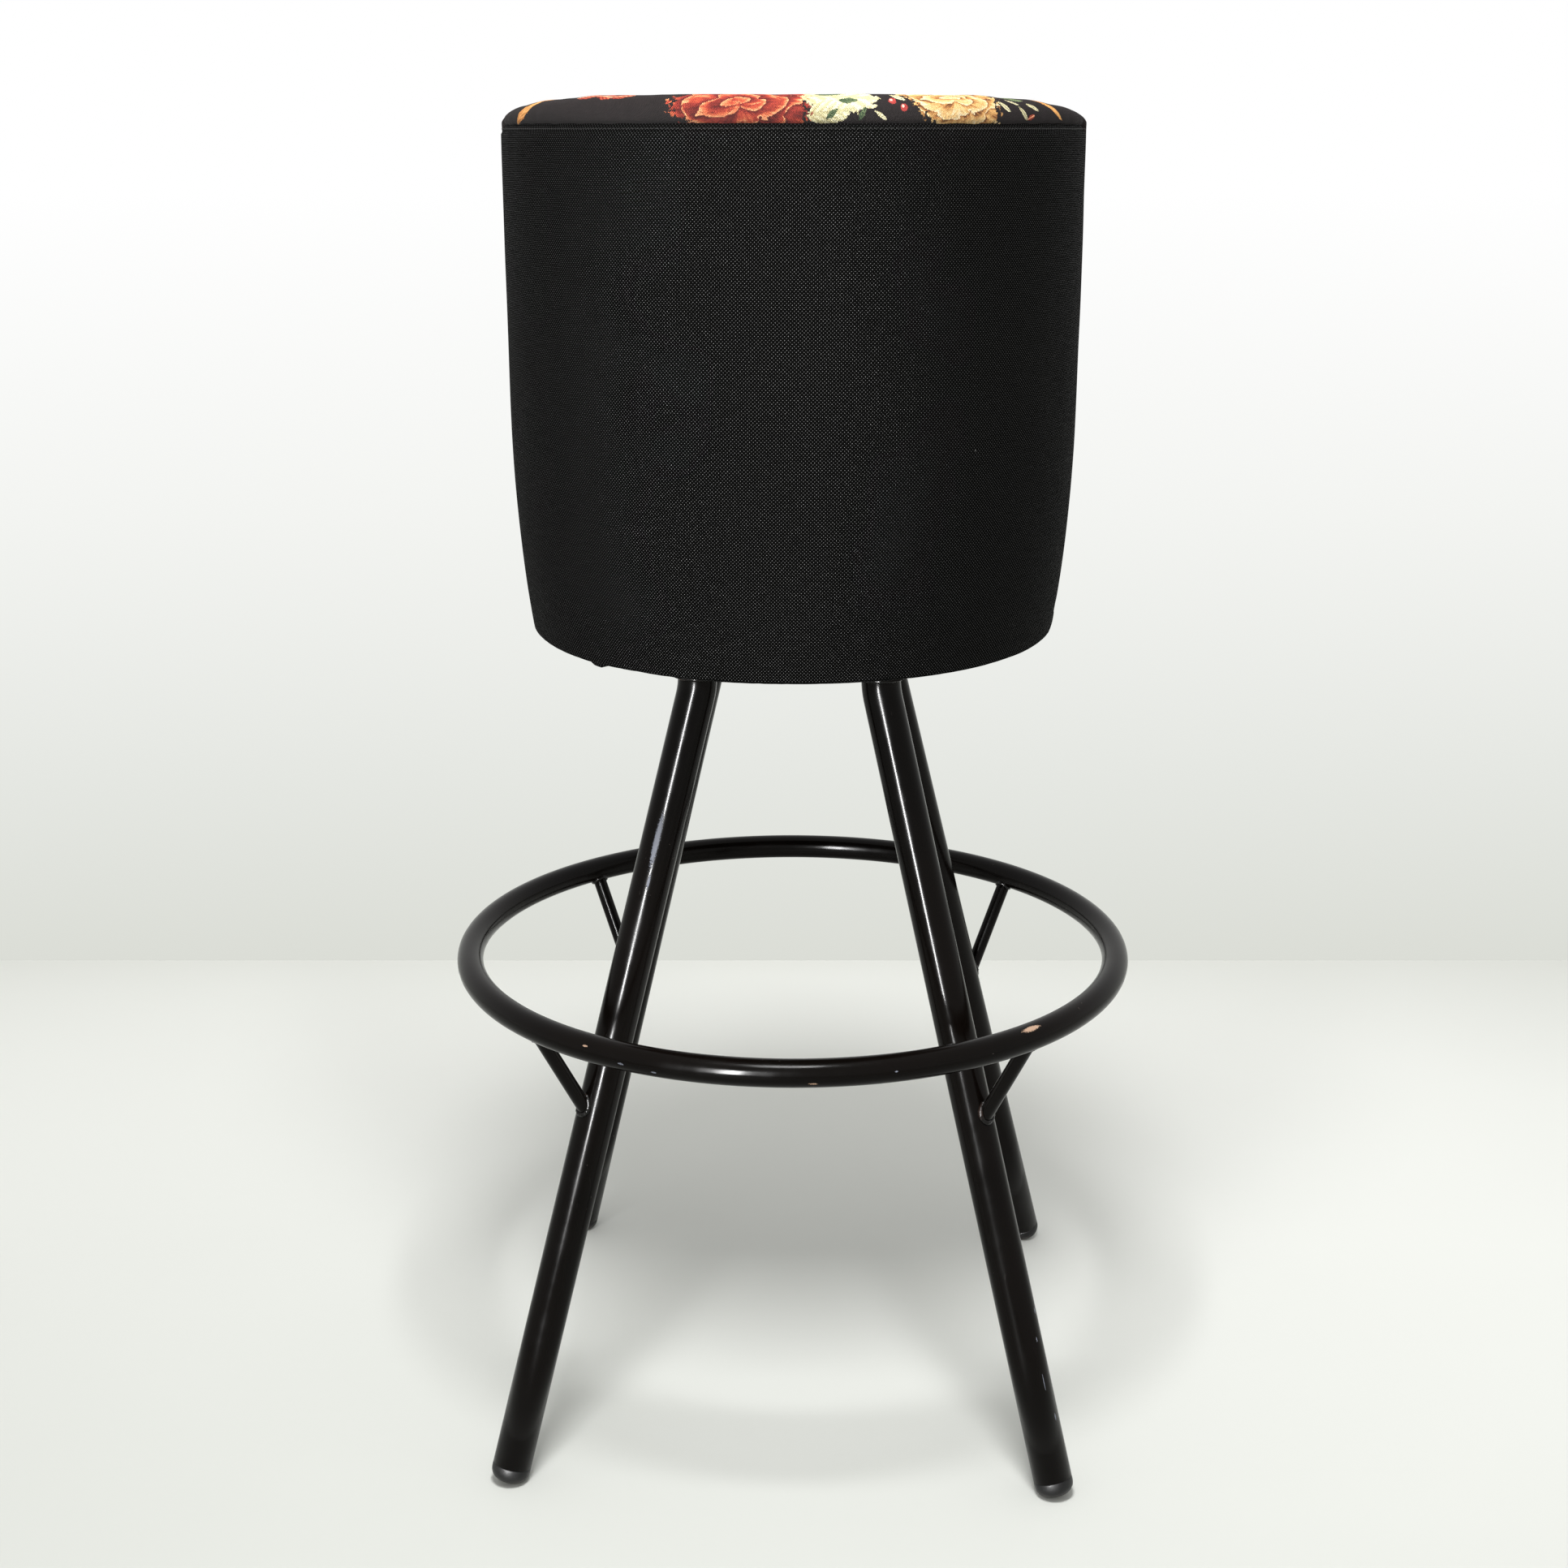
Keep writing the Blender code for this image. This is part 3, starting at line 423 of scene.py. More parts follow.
def make_paint():
    graph = Graph("gloss_black_paint")
    uv = graph.uv()
    place = graph.place()
    cloud = graph.noise(place, 9.0, 4.0, 0.6)
    colour = graph.mix(cloud, srgb(6, 5, 4), srgb(14, 9, 7))
    jagged = graph.span(graph.noise(uv, 900.0, 3.0, 0.7), 0.25, 0.75, -0.35, 0.35)
    flecks = graph.span(graph.noise(place, 260.0, 2.0, 0.55), 0.765, 0.80)
    worn = graph.span(graph.noise(place, 7.0, 2.0), 0.50, 0.68)
    bare = graph.times(flecks, worn)
    colour = graph.mix(bare, colour, srgb(122, 112, 106))
    for centre, half, tint in PAINT_CHIPS:
        mask = chip(graph, uv, centre, half, jagged)
        colour = graph.mix(mask, colour, tint)
        bare = graph.math("MAXIMUM", bare, mask)
    stretch = graph.vector("MULTIPLY", place, (260.0, 260.0, 9.0))
    scratch = graph.span(graph.noise(stretch, 1.0, 2.0, 0.5), 0.70, 0.78)
    scratch = graph.times(scratch, worn)
    colour = graph.mix(graph.times(scratch, 0.35), colour, srgb(90, 84, 80))
    rough = graph.span(graph.noise(place, 28.0, 3.0, 0.6), 0.3, 0.75, 0.14, 0.24)
    rough = graph.plus(rough, graph.times(scratch, 0.25))
    rough = graph.blend_number(bare, rough, 0.5)
    peel = graph.bump(graph.noise(place, 90.0, 1.0), 0.00005, 0.25)
    dent = graph.bump(graph.minus(1.0, bare), 0.0003, 0.8, peel)
    graph.set(Base_Color=colour, Roughness=rough, Normal=dent, Specular_IOR_Level=0.075)
    return graph.material


def make_weld_paint():
    """Painted over too, but rougher, and browned by the heat."""
    graph = Graph("weld_paint")
    place = graph.place()
    burnt = graph.span(graph.noise(place, 60.0, 3.0, 0.6), 0.50, 0.72)
    colour = graph.mix(burnt, srgb(10, 8, 7), srgb(44, 28, 20))
    rust = graph.span(graph.noise(place, 210.0, 2.0, 0.6), 0.63, 0.72)
    colour = graph.mix(graph.times(rust, burnt), colour, RUST)
    rough = graph.span(burnt, 0.0, 1.0, 0.20, 0.42)
    normal = graph.bump(graph.noise(place, 420.0, 3.0, 0.6), 0.0004, 0.6)
    graph.set(Base_Color=colour, Roughness=rough, Normal=normal, Specular_IOR_Level=0.20)
    return graph.material


def make_plastic():
    graph = Graph("black_plastic")
    place = graph.place()
    height = graph.split(place)[2]
    drift = graph.times(graph.noise(place, 150.0, 4.0, 0.65), 0.012)
    dust = graph.span(graph.plus(height, drift), 0.016, 0.004)
    colour = graph.mix(graph.times(dust, 0.55), srgb(17, 17, 18), srgb(88, 84, 80))
    around = graph.vector("MULTIPLY", place, (1.0, 1.0, 5.0))
    scuff = graph.span(graph.noise(around, 320.0, 3.0, 0.6), 0.62, 0.74)
    colour = graph.mix(graph.times(scuff, 0.5), colour, srgb(78, 76, 74))
    rough = graph.span(graph.noise(place, 90.0, 3.0), 0.3, 0.7, 0.34, 0.52)
    normal = graph.bump(graph.noise(place, 700.0, 3.0, 0.6), 0.00015, 0.5)
    graph.set(Base_Color=colour, Roughness=rough, Normal=normal, Specular_IOR_Level=0.25)
    return graph.material


# --------------------------------------------------------------- hardware
def make_metal(name, light, dark, rough_low, rough_high, scale, grain=(1.0, 1.0, 1.0), stain=None):
    """Bare or plated metal: cloudy colour, streaked roughness and a fine grain."""
    graph = Graph(name)
    place = graph.place()
    streaks = graph.noise(graph.vector("MULTIPLY", place, grain), scale, 4.0, 0.62)
    cloud = graph.noise(place, 34.0, 3.0, 0.55)
    colour = graph.mix(graph.span(cloud, 0.3, 0.7), dark, light)
    if stain is not None:
        grease = graph.span(graph.noise(place, 55.0, 3.0, 0.6), 0.48, 0.66)
        colour = graph.mix(graph.times(grease, 0.6), colour, stain)
    rough = graph.span(streaks, 0.25, 0.75, rough_low, rough_high)
    normal = graph.bump(streaks, 0.00008, 0.5)
    graph.set(Base_Color=colour, Roughness=rough, Normal=normal, Metallic=1.0)
    return graph.material


def make_nylon():
    graph = Graph("bush_nylon")
    place = graph.place()
    cloud = graph.noise(place, 130.0, 3.0)
    colour = graph.mix(cloud, srgb(222, 216, 200), srgb(198, 188, 166))
    rough = graph.span(cloud, 0.2, 0.8, 0.38, 0.55)
    graph.set(Base_Color=colour, Roughness=rough, Subsurface_Weight=0.15)
    return graph.material


def make_plywood():
    """Faces with a long grain, edges with thin plies that change in tone."""
    graph = Graph("birch_plywood")
    place = graph.place()
    height = graph.split(place)[2]
    plies = graph.math("SINE", graph.times(height, math.tau / 0.003))
    plies = graph.span(graph.plus(plies, graph.times(graph.noise(place, 160.0), 0.6)), -0.4, 0.9)
    grain = graph.noise(graph.vector("MULTIPLY", place, (160.0, 7.0, 90.0)), 1.0, 5.0, 0.6, 0.3)
    tones = [(0.30, srgb(206, 172, 126)), (0.52, srgb(188, 150, 104)), (0.72, srgb(150, 112, 72))]
    colour = graph.ramp(grain, tones)
    colour = graph.mix(graph.times(plies, 0.5), colour, srgb(120, 84, 52))
    rough = graph.span(grain, 0.3, 0.7, 0.52, 0.72)
    graph.set(Base_Color=colour, Roughness=rough, Normal=graph.bump(grain, 0.0004, 0.5))
    return graph.material


# ----------------------------------------------------------------- fabrics
CANVAS_PITCH = 0.00135
TAPESTRY_PITCH = 0.00105
CAMBRIC_PITCH = 0.0009


def weave_cells(graph, u, v, pitch):
    """Crossings of a plain weave: (warp height, weft height, 1 where the warp lies on top)."""
    across = graph.times(u, 1 / pitch)
    along = graph.times(v, 1 / pitch)
    warp = graph.math("ABSOLUTE", graph.math("SINE", graph.times(across, math.pi)))
    weft = graph.math("ABSOLUTE", graph.math("SINE", graph.times(along, math.pi)))
    parity = graph.plus(graph.math("FLOOR", across), graph.math("FLOOR", along))
    over = graph.math("FLOORED_MODULO", parity, 2.0)
    return warp, weft, over


def make_canvas():
    """Coarse black plain weave, whose warp crossings are glossier and also lightened in colour as a painted
    highlight.
    """
    graph = Graph("black_canvas")
    uv = graph.uv()
    wander = graph.noise(uv, 26.0, 2.0)
    slub = graph.noise(graph.vector("MULTIPLY", uv, (40.0, 900.0, 1.0)), 1.0, 2.0, 0.6)
    u, v = graph.split(uv)[:2]
    u = graph.math("MULTIPLY_ADD", graph.minus(wander, 0.5), 0.0022, u)
    v = graph.math("MULTIPLY_ADD", graph.minus(wander, 0.5), 0.0016, v)
    warp, weft, over = weave_cells(graph, u, v, CANVAS_PITCH)
    knot = graph.times(graph.times(warp, weft), over)
    floats = graph.times(graph.times(warp, weft), graph.minus(1.0, over))
    height = graph.math("MULTIPLY_ADD", floats, 0.55, knot)
    yarn = graph.span(graph.noise(uv, 1500.0, 2.0, 0.6), 0.3, 0.75)
    shine = graph.times(graph.span(knot, 0.45, 0.9), graph.span(slub, 0.25, 0.75, 0.65, 1.0))
    fade = graph.noise(uv, 5.0, 3.0, 0.55)
    colour = graph.mix(fade, srgb(4, 4, 4), srgb(8, 8, 7))
    # painted highlight: the warp crossings are lightened in colour, standing in for their glints
    colour = graph.mix(graph.times(shine, 0.5), colour, srgb(20, 20, 19))
    drawn_out = graph.vector("MULTIPLY", uv, (1.0, 0.35, 1.0))
    lint = graph.span(graph.noise(drawn_out, 330.0, 1.0), 0.835, 0.86)
    colour = graph.mix(graph.times(lint, 0.7), colour, srgb(150, 150, 148))
    rough = graph.span(shine, 0.0, 1.0, 0.86, 0.42)
    soft = graph.bump(graph.noise(uv, 40.0, 2.0), 0.0006, 0.35)
    normal = graph.bump(graph.math("MULTIPLY_ADD", yarn, 0.15, height), 0.00045, 0.9, soft)
    gloss = graph.span(shine, 0.0, 1.0, 0.01, 0.42)
    graph.set(Base_Color=colour, Roughness=rough, Normal=normal, Specular_IOR_Level=gloss)
    return graph.material


GROUND = srgb(22, 17, 17)
ROSE_RED = [(0.0, srgb(82, 22, 20)), (0.34, srgb(136, 38, 28)), (0.62, srgb(170, 58, 34)),
            (0.80, srgb(204, 100, 58)), (1.0, srgb(226, 156, 106))]
ROSE_GOLD = [(0.0, srgb(110, 66, 34)), (0.16, srgb(176, 118, 60)), (0.42, srgb(212, 164, 96)),
             (0.75, srgb(226, 190, 130)), (1.0, srgb(236, 214, 172))]
LEAF_CREAM = [(0.0, srgb(176, 160, 112)), (0.5, srgb(214, 206, 160)), (1.0, srgb(236, 228, 196))]
LEAF_GREEN = [(0.0, srgb(34, 52, 38)), (0.5, srgb(72, 92, 62)), (1.0, srgb(132, 142, 100))]
LEAF_GOLD = [(0.0, srgb(176, 96, 40)), (0.5, srgb(226, 152, 74)), (1.0, srgb(246, 196, 122))]


def bloom(graph, below, local, stops, wobble, contrast=1.0):
    """A bloom of curling petals over the colour below it."""
    x, y = graph.split(local)[:2]
    turn = graph.math("ARCTAN2", y, x)
    scallop = graph.times(graph.math("COSINE", graph.times(turn, 5.0)), 0.07)
    edge = graph.plus(graph.vector("LENGTH", local), graph.plus(scallop, wobble))
    mask = graph.span(edge, 1.0, 0.97)
    bent = graph.times(graph.minus(graph.noise(local, 1.9, 2.0), 0.5), 0.9)
    reach = graph.plus(graph.vector("LENGTH", graph.vector("ADD", local, (0.12, -0.10, 0.0))), bent)
    layer = graph.times(reach, 3.1)
    phase = graph.math("MULTIPLY_ADD", graph.math("FLOOR", layer), 2.3, graph.times(turn, 1.5))
    arch = graph.math("ABSOLUTE", graph.math("SINE", phase))
    petal = graph.math("FRACT", graph.math("MULTIPLY_ADD", arch, -0.62, graph.plus(layer, 1.0)))
    fan = graph.join(graph.times(turn, 9.0), graph.times(reach, 3.0))
    streak = graph.noise(fan, 1.0, 2.0, 0.6)
    tone = graph.math("MULTIPLY_ADD", graph.minus(streak, 0.5), 0.9 * contrast, petal)
    return graph.mix(mask, below, graph.ramp(tone, stops))


def leaf(graph, below, local, stops, wobble, vein):
    """A pointed leaf with a middle vein and ribs."""
    x, y = graph.split(local)[:2]
    side = graph.math("ABSOLUTE", y)
    room = graph.minus(1.0, graph.times(x, x))
    inside = graph.minus(graph.minus(room, side), wobble)
    mask = graph.span(inside, 0.0, 0.05)
    slant = graph.minus(x, graph.times(side, 0.7))
    ribs = graph.math("SINE", graph.times(slant, 17.0))
    tone = graph.math("MULTIPLY_ADD", ribs, 0.28, graph.math("MULTIPLY_ADD", x, 0.2, 0.5))
    colour = graph.mix(graph.span(side, 0.16, 0.07), graph.ramp(tone, stops), vein)
    return graph.mix(mask, below, colour)


def berry(graph, below, local, dark, wobble, light):
    """A round berry with a bright spot."""
    mask = graph.span(graph.plus(graph.vector("LENGTH", local), wobble), 1.0, 0.9)
    away = graph.vector("LENGTH", graph.vector("SUBTRACT", local, (-0.3, 0.3, 0.0)))
    shine = graph.span(away, 0.5, 0.25)
    return graph.mix(mask, below, graph.mix(shine, dark, light))


def scattered(graph, uv, spacing, size, turn=0.0):
    """Own frame, random number and random turn of the nearest of many scattered motifs."""
    cells = graph.link("TexVoronoi", {"Vector": uv, "Scale": 1 / spacing, "Randomness": 0.62},
                       voronoi_dimensions="2D")
    away = graph.vector("SUBTRACT", uv, cells.outputs["Position"])
    chance = graph.link("SeparateColor", {"Color": cells.outputs["Color"]}).outputs
    angle = graph.times(chance[2], turn)
    turned = graph.link("VectorRotate", {"Vector": away, "Angle": angle}, rotation_type="Z_AXIS").outputs[0]
    return graph.vector("MULTIPLY", turned, (1 / size[0], 1 / size[1], 0.0)), chance


def floral_field(graph, uv, wobble):
    """Scattered sprigs, leaves and blooms on the near-black ground."""
    ribs = graph.noise(graph.vector("MULTIPLY", uv, (60.0, 60.0, 1.0)), 1.0, 3.0)
    colour = graph.mix(ribs, GROUND, srgb(44, 36, 36))
    local, chance = scattered(graph, uv, 0.026, (0.0042, 0.0013), math.tau)
    sprig = leaf(graph, colour, local, LEAF_CREAM, wobble, srgb(120, 130, 90))
    colour = graph.mix(graph.math("GREATER_THAN", chance[0], 0.45), colour, sprig)
    shifted = graph.vector("ADD", uv, (0.311, 0.127, 0.0))
    local, chance = scattered(graph, shifted, 0.062, (0.031, 0.0105), math.tau)
    green = leaf(graph, colour, local, LEAF_GREEN, wobble, srgb(190, 184, 130))
    cream = leaf(graph, colour, local, LEAF_CREAM, wobble, srgb(86, 104, 66))
    leaves = graph.mix(graph.math("GREATER_THAN", chance[0], 0.5), green, cream)
    colour = graph.mix(graph.math("GREATER_THAN", chance[1], 0.25), colour, leaves)
    shifted = graph.vector("ADD", uv, (0.071, 0.093, 0.0))
    local, chance = scattered(graph, shifted, 0.150, (0.046, 0.040), math.tau)
    red = bloom(graph, colour, local, ROSE_RED, wobble)
    gold = bloom(graph, colour, local, ROSE_GOLD, wobble)
    return graph.mix(graph.math("GREATER_THAN", chance[0], 0.5), red, gold)


DARK_VEIN = srgb(48, 66, 42)
GOLD_VEIN = srgb(240, 176, 96)
PINK_VEIN = srgb(236, 190, 150)
PALE_VEIN = srgb(220, 214, 180)
BERRY_RED = srgb(168, 52, 46)
BERRY_SPOT = srgb(236, 190, 170)
BOUQUET_SHIFT = (0.008, 0.0, 0.0)

# Each motif's kind, centre, half axes, tilt in degrees, colours, and vein, spot or contrast. The centre
# counts from the middle of the back and up from the seam. A later motif lies over an earlier one.
BOUQUET = [
    (leaf, (-0.248, 0.010), (0.021, 0.0048), 32, LEAF_GOLD, GOLD_VEIN),
    (leaf, (-0.226, 0.026), (0.016, 0.0036), 24, LEAF_GOLD, GOLD_VEIN),
    (leaf, (-0.170, 0.0235), (0.012, 0.0046), 12, ROSE_RED, PINK_VEIN),
    (leaf, (-0.152, 0.0235), (0.012, 0.0046), -6, ROSE_RED, PINK_VEIN),
    (leaf, (-0.136, 0.0235), (0.012, 0.0046), 8, ROSE_RED, PINK_VEIN),
    (leaf, (0.032, 0.021), (0.033, 0.0165), -6, LEAF_CREAM, srgb(200, 190, 140)),
    (leaf, (0.026, 0.007), (0.017, 0.0095), 8, LEAF_CREAM, srgb(196, 186, 140)),
    (leaf, (0.027, 0.026), (0.012, 0.0038), 4, LEAF_GREEN, DARK_VEIN),
    (leaf, (0.040, 0.016), (0.008, 0.0026), 2, LEAF_GREEN, DARK_VEIN),
    (leaf, (0.028, 0.006), (0.006, 0.0020), 40, LEAF_GREEN, DARK_VEIN),
    (bloom, (-0.037, 0.013), (0.050, 0.027), 0, ROSE_RED, 1.0),
    (leaf, (0.050, 0.006), (0.006, 0.0020), 60, LEAF_GREEN, DARK_VEIN),
    (leaf, (0.057, 0.011), (0.005, 0.0014), 10, LEAF_CREAM, PALE_VEIN),
    (leaf, (0.063, 0.005), (0.006, 0.0014), -36, LEAF_CREAM, PALE_VEIN),
    (leaf, (0.078, 0.020), (0.007, 0.0024), -38, LEAF_CREAM, DARK_VEIN),
    (berry, (0.073, 0.0155), (0.0030, 0.0030), 0, BERRY_RED, BERRY_SPOT),
    (berry, (0.081, 0.0105), (0.0028, 0.0028), 0, BERRY_RED, BERRY_SPOT),
    (bloom, (0.124, 0.018), (0.043, 0.021), -12, ROSE_GOLD, 1.4),
    (leaf, (0.170, 0.012), (0.0075, 0.0019), -40, LEAF_CREAM, DARK_VEIN),
    (leaf, (0.181, 0.017), (0.0075, 0.0019), -28, LEAF_CREAM, DARK_VEIN),
    (leaf, (0.190, 0.007), (0.0075, 0.0019), -48, LEAF_CREAM, DARK_VEIN),
    (leaf, (0.204, 0.012), (0.0075, 0.0019), -30, LEAF_CREAM, DARK_VEIN),
    (leaf, (0.186, 0.024), (0.013, 0.0032), -20, LEAF_GREEN, srgb(150, 156, 112)),
    (leaf, (0.199, 0.004), (0.0048, 0.0018), 20, ROSE_RED, PINK_VEIN),
    (leaf, (0.232, 0.013), (0.020, 0.0030), -34, LEAF_GOLD, GOLD_VEIN),
]


def top_roll_bouquet(graph, uv, wobble):
    """The bouquet that runs along the top roll."""
    colour = graph.mix(graph.noise(uv, 60.0, 3.0), GROUND, srgb(34, 27, 27))
    uv = graph.vector("SUBTRACT", uv, BOUQUET_SHIFT)
    for motif, centre, half, tilt, stops, accent in BOUQUET:
        colour = motif(graph, colour, graph.local(uv, centre, half, tilt), stops, wobble, accent)
    return colour


BOUQUET_TOP = 0.040  # of the stretch above the seam that the bouquet fills


def make_tapestry(name, bouquet):
    """Woven flowers: the colours step from thread to thread, over a twill's ribs, with painted shade in the
    hollows between them.
    """
    graph = Graph(name)
    uv = graph.uv()
    u, v = graph.split(uv)[:2]
    thread = graph.vector("SNAP", uv, (TAPESTRY_PITCH * 0.55, TAPESTRY_PITCH * 0.55, 1.0))
    stray = graph.link("TexWhiteNoise", {"Vector": thread}, noise_dimensions="2D").outputs["Value"]
    wobble = graph.span(graph.noise(thread, 210.0, 3.0, 0.65), 0.25, 0.75, -0.16, 0.16)
    colour = floral_field(graph, thread, wobble)
    if bouquet:
        rise = graph.split(thread)[1]
        colour = graph.mix(graph.span(rise, BOUQUET_TOP, BOUQUET_TOP - 0.002), colour,
                           top_roll_bouquet(graph, thread, wobble))
    diagonal = graph.plus(u, graph.times(v, 0.6))
    twill = graph.math("SINE", graph.times(diagonal, math.tau / TAPESTRY_PITCH))
    rib = graph.math("SINE", graph.times(v, math.tau / (TAPESTRY_PITCH * 0.62)))
    height = graph.math("MULTIPLY_ADD", rib, 0.4, twill)
    # painted shade: the low hollows of the twill and ribs are darkened in colour
    colour = graph.mix(graph.span(height, -1.3, 0.1, 0.62, 0.0), colour, srgb(16, 12, 12))
    tinted = graph.times(graph.minus(stray, 0.5), 0.55)
    colour = graph.link("HueSaturation", {
        "Saturation": 0.97, "Value": graph.plus(1.0, tinted), "Color": colour,
    }).outputs["Color"]
    rough = graph.span(height, -1.0, 1.0, 0.88, 0.70)
    soft = graph.bump(graph.noise(uv, 55.0, 2.0), 0.0008, 0.3)
    normal = graph.bump(graph.math("MULTIPLY_ADD", stray, 0.3, height), 0.00020, 0.8, soft)
    graph.set(Base_Color=colour, Roughness=rough, Normal=normal, Specular_IOR_Level=0.12)
    return graph.material


def make_cambric():
    graph = Graph("black_cambric")
    uv = graph.uv()
    u, v = graph.split(uv)[:2]
    warp, weft, over = weave_cells(graph, u, v, CAMBRIC_PITCH)
    height = graph.times(warp, weft)
    dust = graph.noise(uv, 12.0, 5.0, 0.62)
    colour = graph.mix(graph.span(dust, 0.35, 0.8), srgb(19, 19, 20), srgb(46, 44, 42))
    rough = graph.span(height, 0.0, 1.0, 0.95, 0.80)
    normal = graph.bump(height, 0.0002, 0.7)
    graph.set(Base_Color=colour, Roughness=rough, Normal=normal, Specular_IOR_Level=0.2)
    return graph.material


def make_thread():
    graph = Graph("black_thread")
    place = graph.place()
    ply = graph.noise(place, 2600.0, 2.0)
    colour = graph.mix(ply, srgb(9, 9, 9), srgb(34, 33, 32))
    rough = graph.span(ply, 0.2, 0.8, 0.5, 0.75)
    normal = graph.bump(ply, 0.0002, 0.6)
    graph.set(Base_Color=colour, Roughness=rough, Normal=normal, Specular_IOR_Level=0.15)
    return graph.material


# ------------------------------------------------------- the steel base
WELD_STEPS = 48  # points round a strut's weld
WELD_SEARCH = 0.06  # how far along a strut's surface its weld is looked for
TOP_WELD_STEPS = 60
GLIDE_HEIGHT = 0.0135
GLIDE_EDGE = 0.0092  # round on the glide's lower edge
GLIDE_NECK = 0.0132  # radius of the part inside the tube


def leg_ends(corner):
    """Lower end of a leg's axis, the middle of its bend, and the upper end."""
    points = node_points("leg_" + corner)
    heights = points[:, 2]
    foot = Vector(points[heights < heights.min() + FOOT_SLICE].mean(axis=0))
    top = Vector(points[heights > heights.max() - NEAR].mean(axis=0))
    bend = Vector((top.x, top.y, top.z - LEG_UPRIGHT))
    return foot, bend, top


def tube_bend(foot, bend, top):
    """A leg's path: straight to the bend, round it, then upright."""
    down = (foot - bend).normalized()
    start = bend + down * BEND_REACH
    end = bend + Vector((0, 0, BEND_REACH))
    path = [foot.lerp(start, index / 6) for index in range(6)]
    for index in range(10):
        share = index / 9
        path.append(start.lerp(bend, share).lerp(bend.lerp(end, share), share))
    path.append(top)
    return path


def make_leg(corner, index, paint):
    """One bent leg tube. Gives the points that its path runs through."""
    foot, bend, top = leg_ends(corner)
    path = tube_bend(foot, bend, top)
    outward = Vector((top.x, top.y, 0)).normalized()
    mesh = sweep_mesh("leg_tube_" + corner, path, LEG_RADIUS, 56, outward, caps=True,
                      along=index * LEG_UV_STEP)
    add_piece("leg_tube_" + corner, mesh, paint, "base", ["leg_" + corner])
    return foot, bend, top


def make_ring(paint):
    """The foot ring, one closed tube."""
    rows, sides = 180, 36
    points = np.zeros((rows, sides, 3))
    uvs = np.zeros((rows + 1, sides + 1, 2))
    for row in range(rows + 1):
        angle = math.tau * row / rows
        for side in range(sides + 1):
            turn = math.tau * side / sides
            radius = RING_RADIUS + RING_TUBE / 2 * math.cos(turn)
            height = RING_HEIGHT + RING_TUBE / 2 * math.sin(turn)
            if row < rows and side < sides:
                points[row, side] = at(angle, radius, height)
            uvs[row, side] = (turn * RING_TUBE / 2, RING_UV + angle * RING_RADIUS)
    mesh = grid_mesh("foot_ring_tube", points, uvs, (True, True))
    add_piece("foot_ring_tube", mesh, paint, "base", ["foot_ring"])


def make_strut(corner, foot, bend, paint):
    """A rod from the leg's axis up and out to the middle of the ring's tube."""
    height = RING_HEIGHT - STRUT_DROP
    share = (height - foot.z) / (bend.z - foot.z)
    start = foot.lerp(bend, share)
    outward = Vector((start.x, start.y, 0)).normalized()
    end = outward * RING_RADIUS + Vector((0, 0, RING_HEIGHT))
    path = [start.lerp(end, step / 8) for step in range(9)]
    mesh = sweep_mesh("strut_rod_" + corner, path, STRUT_RADIUS, 32, (0, 0, 1), caps=True,
                      along=STRUT_UV + CORNERS.index(corner))
    add_piece("strut_rod_" + corner, mesh, paint, "base", ["strut_" + corner])
    return start, end


def distance_to_line(point, start, direction):
    """Distance from a point to a line through start."""
    away = point - start
    return (away - direction * away.dot(direction)).length


def meeting_ring(start, direction, radius, inside):
    """Closed loop where a round bar leaves another solid.

    inside(point) is negative inside the other solid; each line of the bar's
    surface is walked outwards from the start until it comes out.
    """
    normal = direction.orthogonal().normalized()
    side = direction.cross(normal)
    loop = []
    for step in range(WELD_STEPS):
        angle = math.tau * step / WELD_STEPS
        offset = (normal * math.cos(angle) + side * math.sin(angle)) * radius
        low = 0.0
        high = WELD_SEARCH
        for _ in range(26):
            middle = (low + high) / 2
            if inside(start + offset + direction * middle) < 0:
                low = middle
            else:
                high = middle
        loop.append(start + offset + direction * high)
    return loop


def make_bead(name, loop, size, material, seed):
    """A weld bead along a closed loop, with the ripples of its passes."""
    def reach(index, angle):
        point = loop[index]
        rough = noise.noise(Vector((point.x, point.y, point.z)) * 210 + Vector((seed, 0, 0)))
        ripple = 0.5 + 0.5 * math.cos(index * math.tau / 3)
        return size * (0.86 + 0.16 * ripple + 0.30 * rough)
    mesh = sweep_mesh(name, loop, reach, 12, (0.31, 0.22, 0.9), closed=True)
    add_piece(name, mesh, material, "base")


def make_welds(corner, foot, bend, top, strut, weld, plate_bottom):
    """The beads where a strut meets its leg and the ring, and where the leg meets the plate."""
    start, end = strut
    direction = (end - start).normalized()
    leg_line = (bend - foot).normalized()

    def out_of_leg(point):
        return distance_to_line(point, foot, leg_line) - LEG_RADIUS

    def out_of_ring(point):
        radius = math.hypot(point.x, point.y)
        return math.hypot(radius - RING_RADIUS, point.z - RING_HEIGHT) - RING_TUBE / 2

    seed = CORNERS.index(corner) * 7.0
    loop = meeting_ring(start, direction, STRUT_RADIUS, out_of_leg)
    make_bead("weld_leg_" + corner, loop, 0.0024, weld, seed)
    loop = meeting_ring(end, -direction, STRUT_RADIUS, out_of_ring)
    make_bead("weld_ring_" + corner, loop, 0.0022, weld, seed + 2)
    loop = []
    for step in range(TOP_WELD_STEPS):
        angle = math.tau * step / TOP_WELD_STEPS
        point = top + Vector((math.cos(angle), math.sin(angle), 0)) * LEG_RADIUS
        point.z = plate_bottom - 0.0008
        loop.append(point)
    make_bead("weld_top_" + corner, loop, 0.0019, weld, seed + 4)


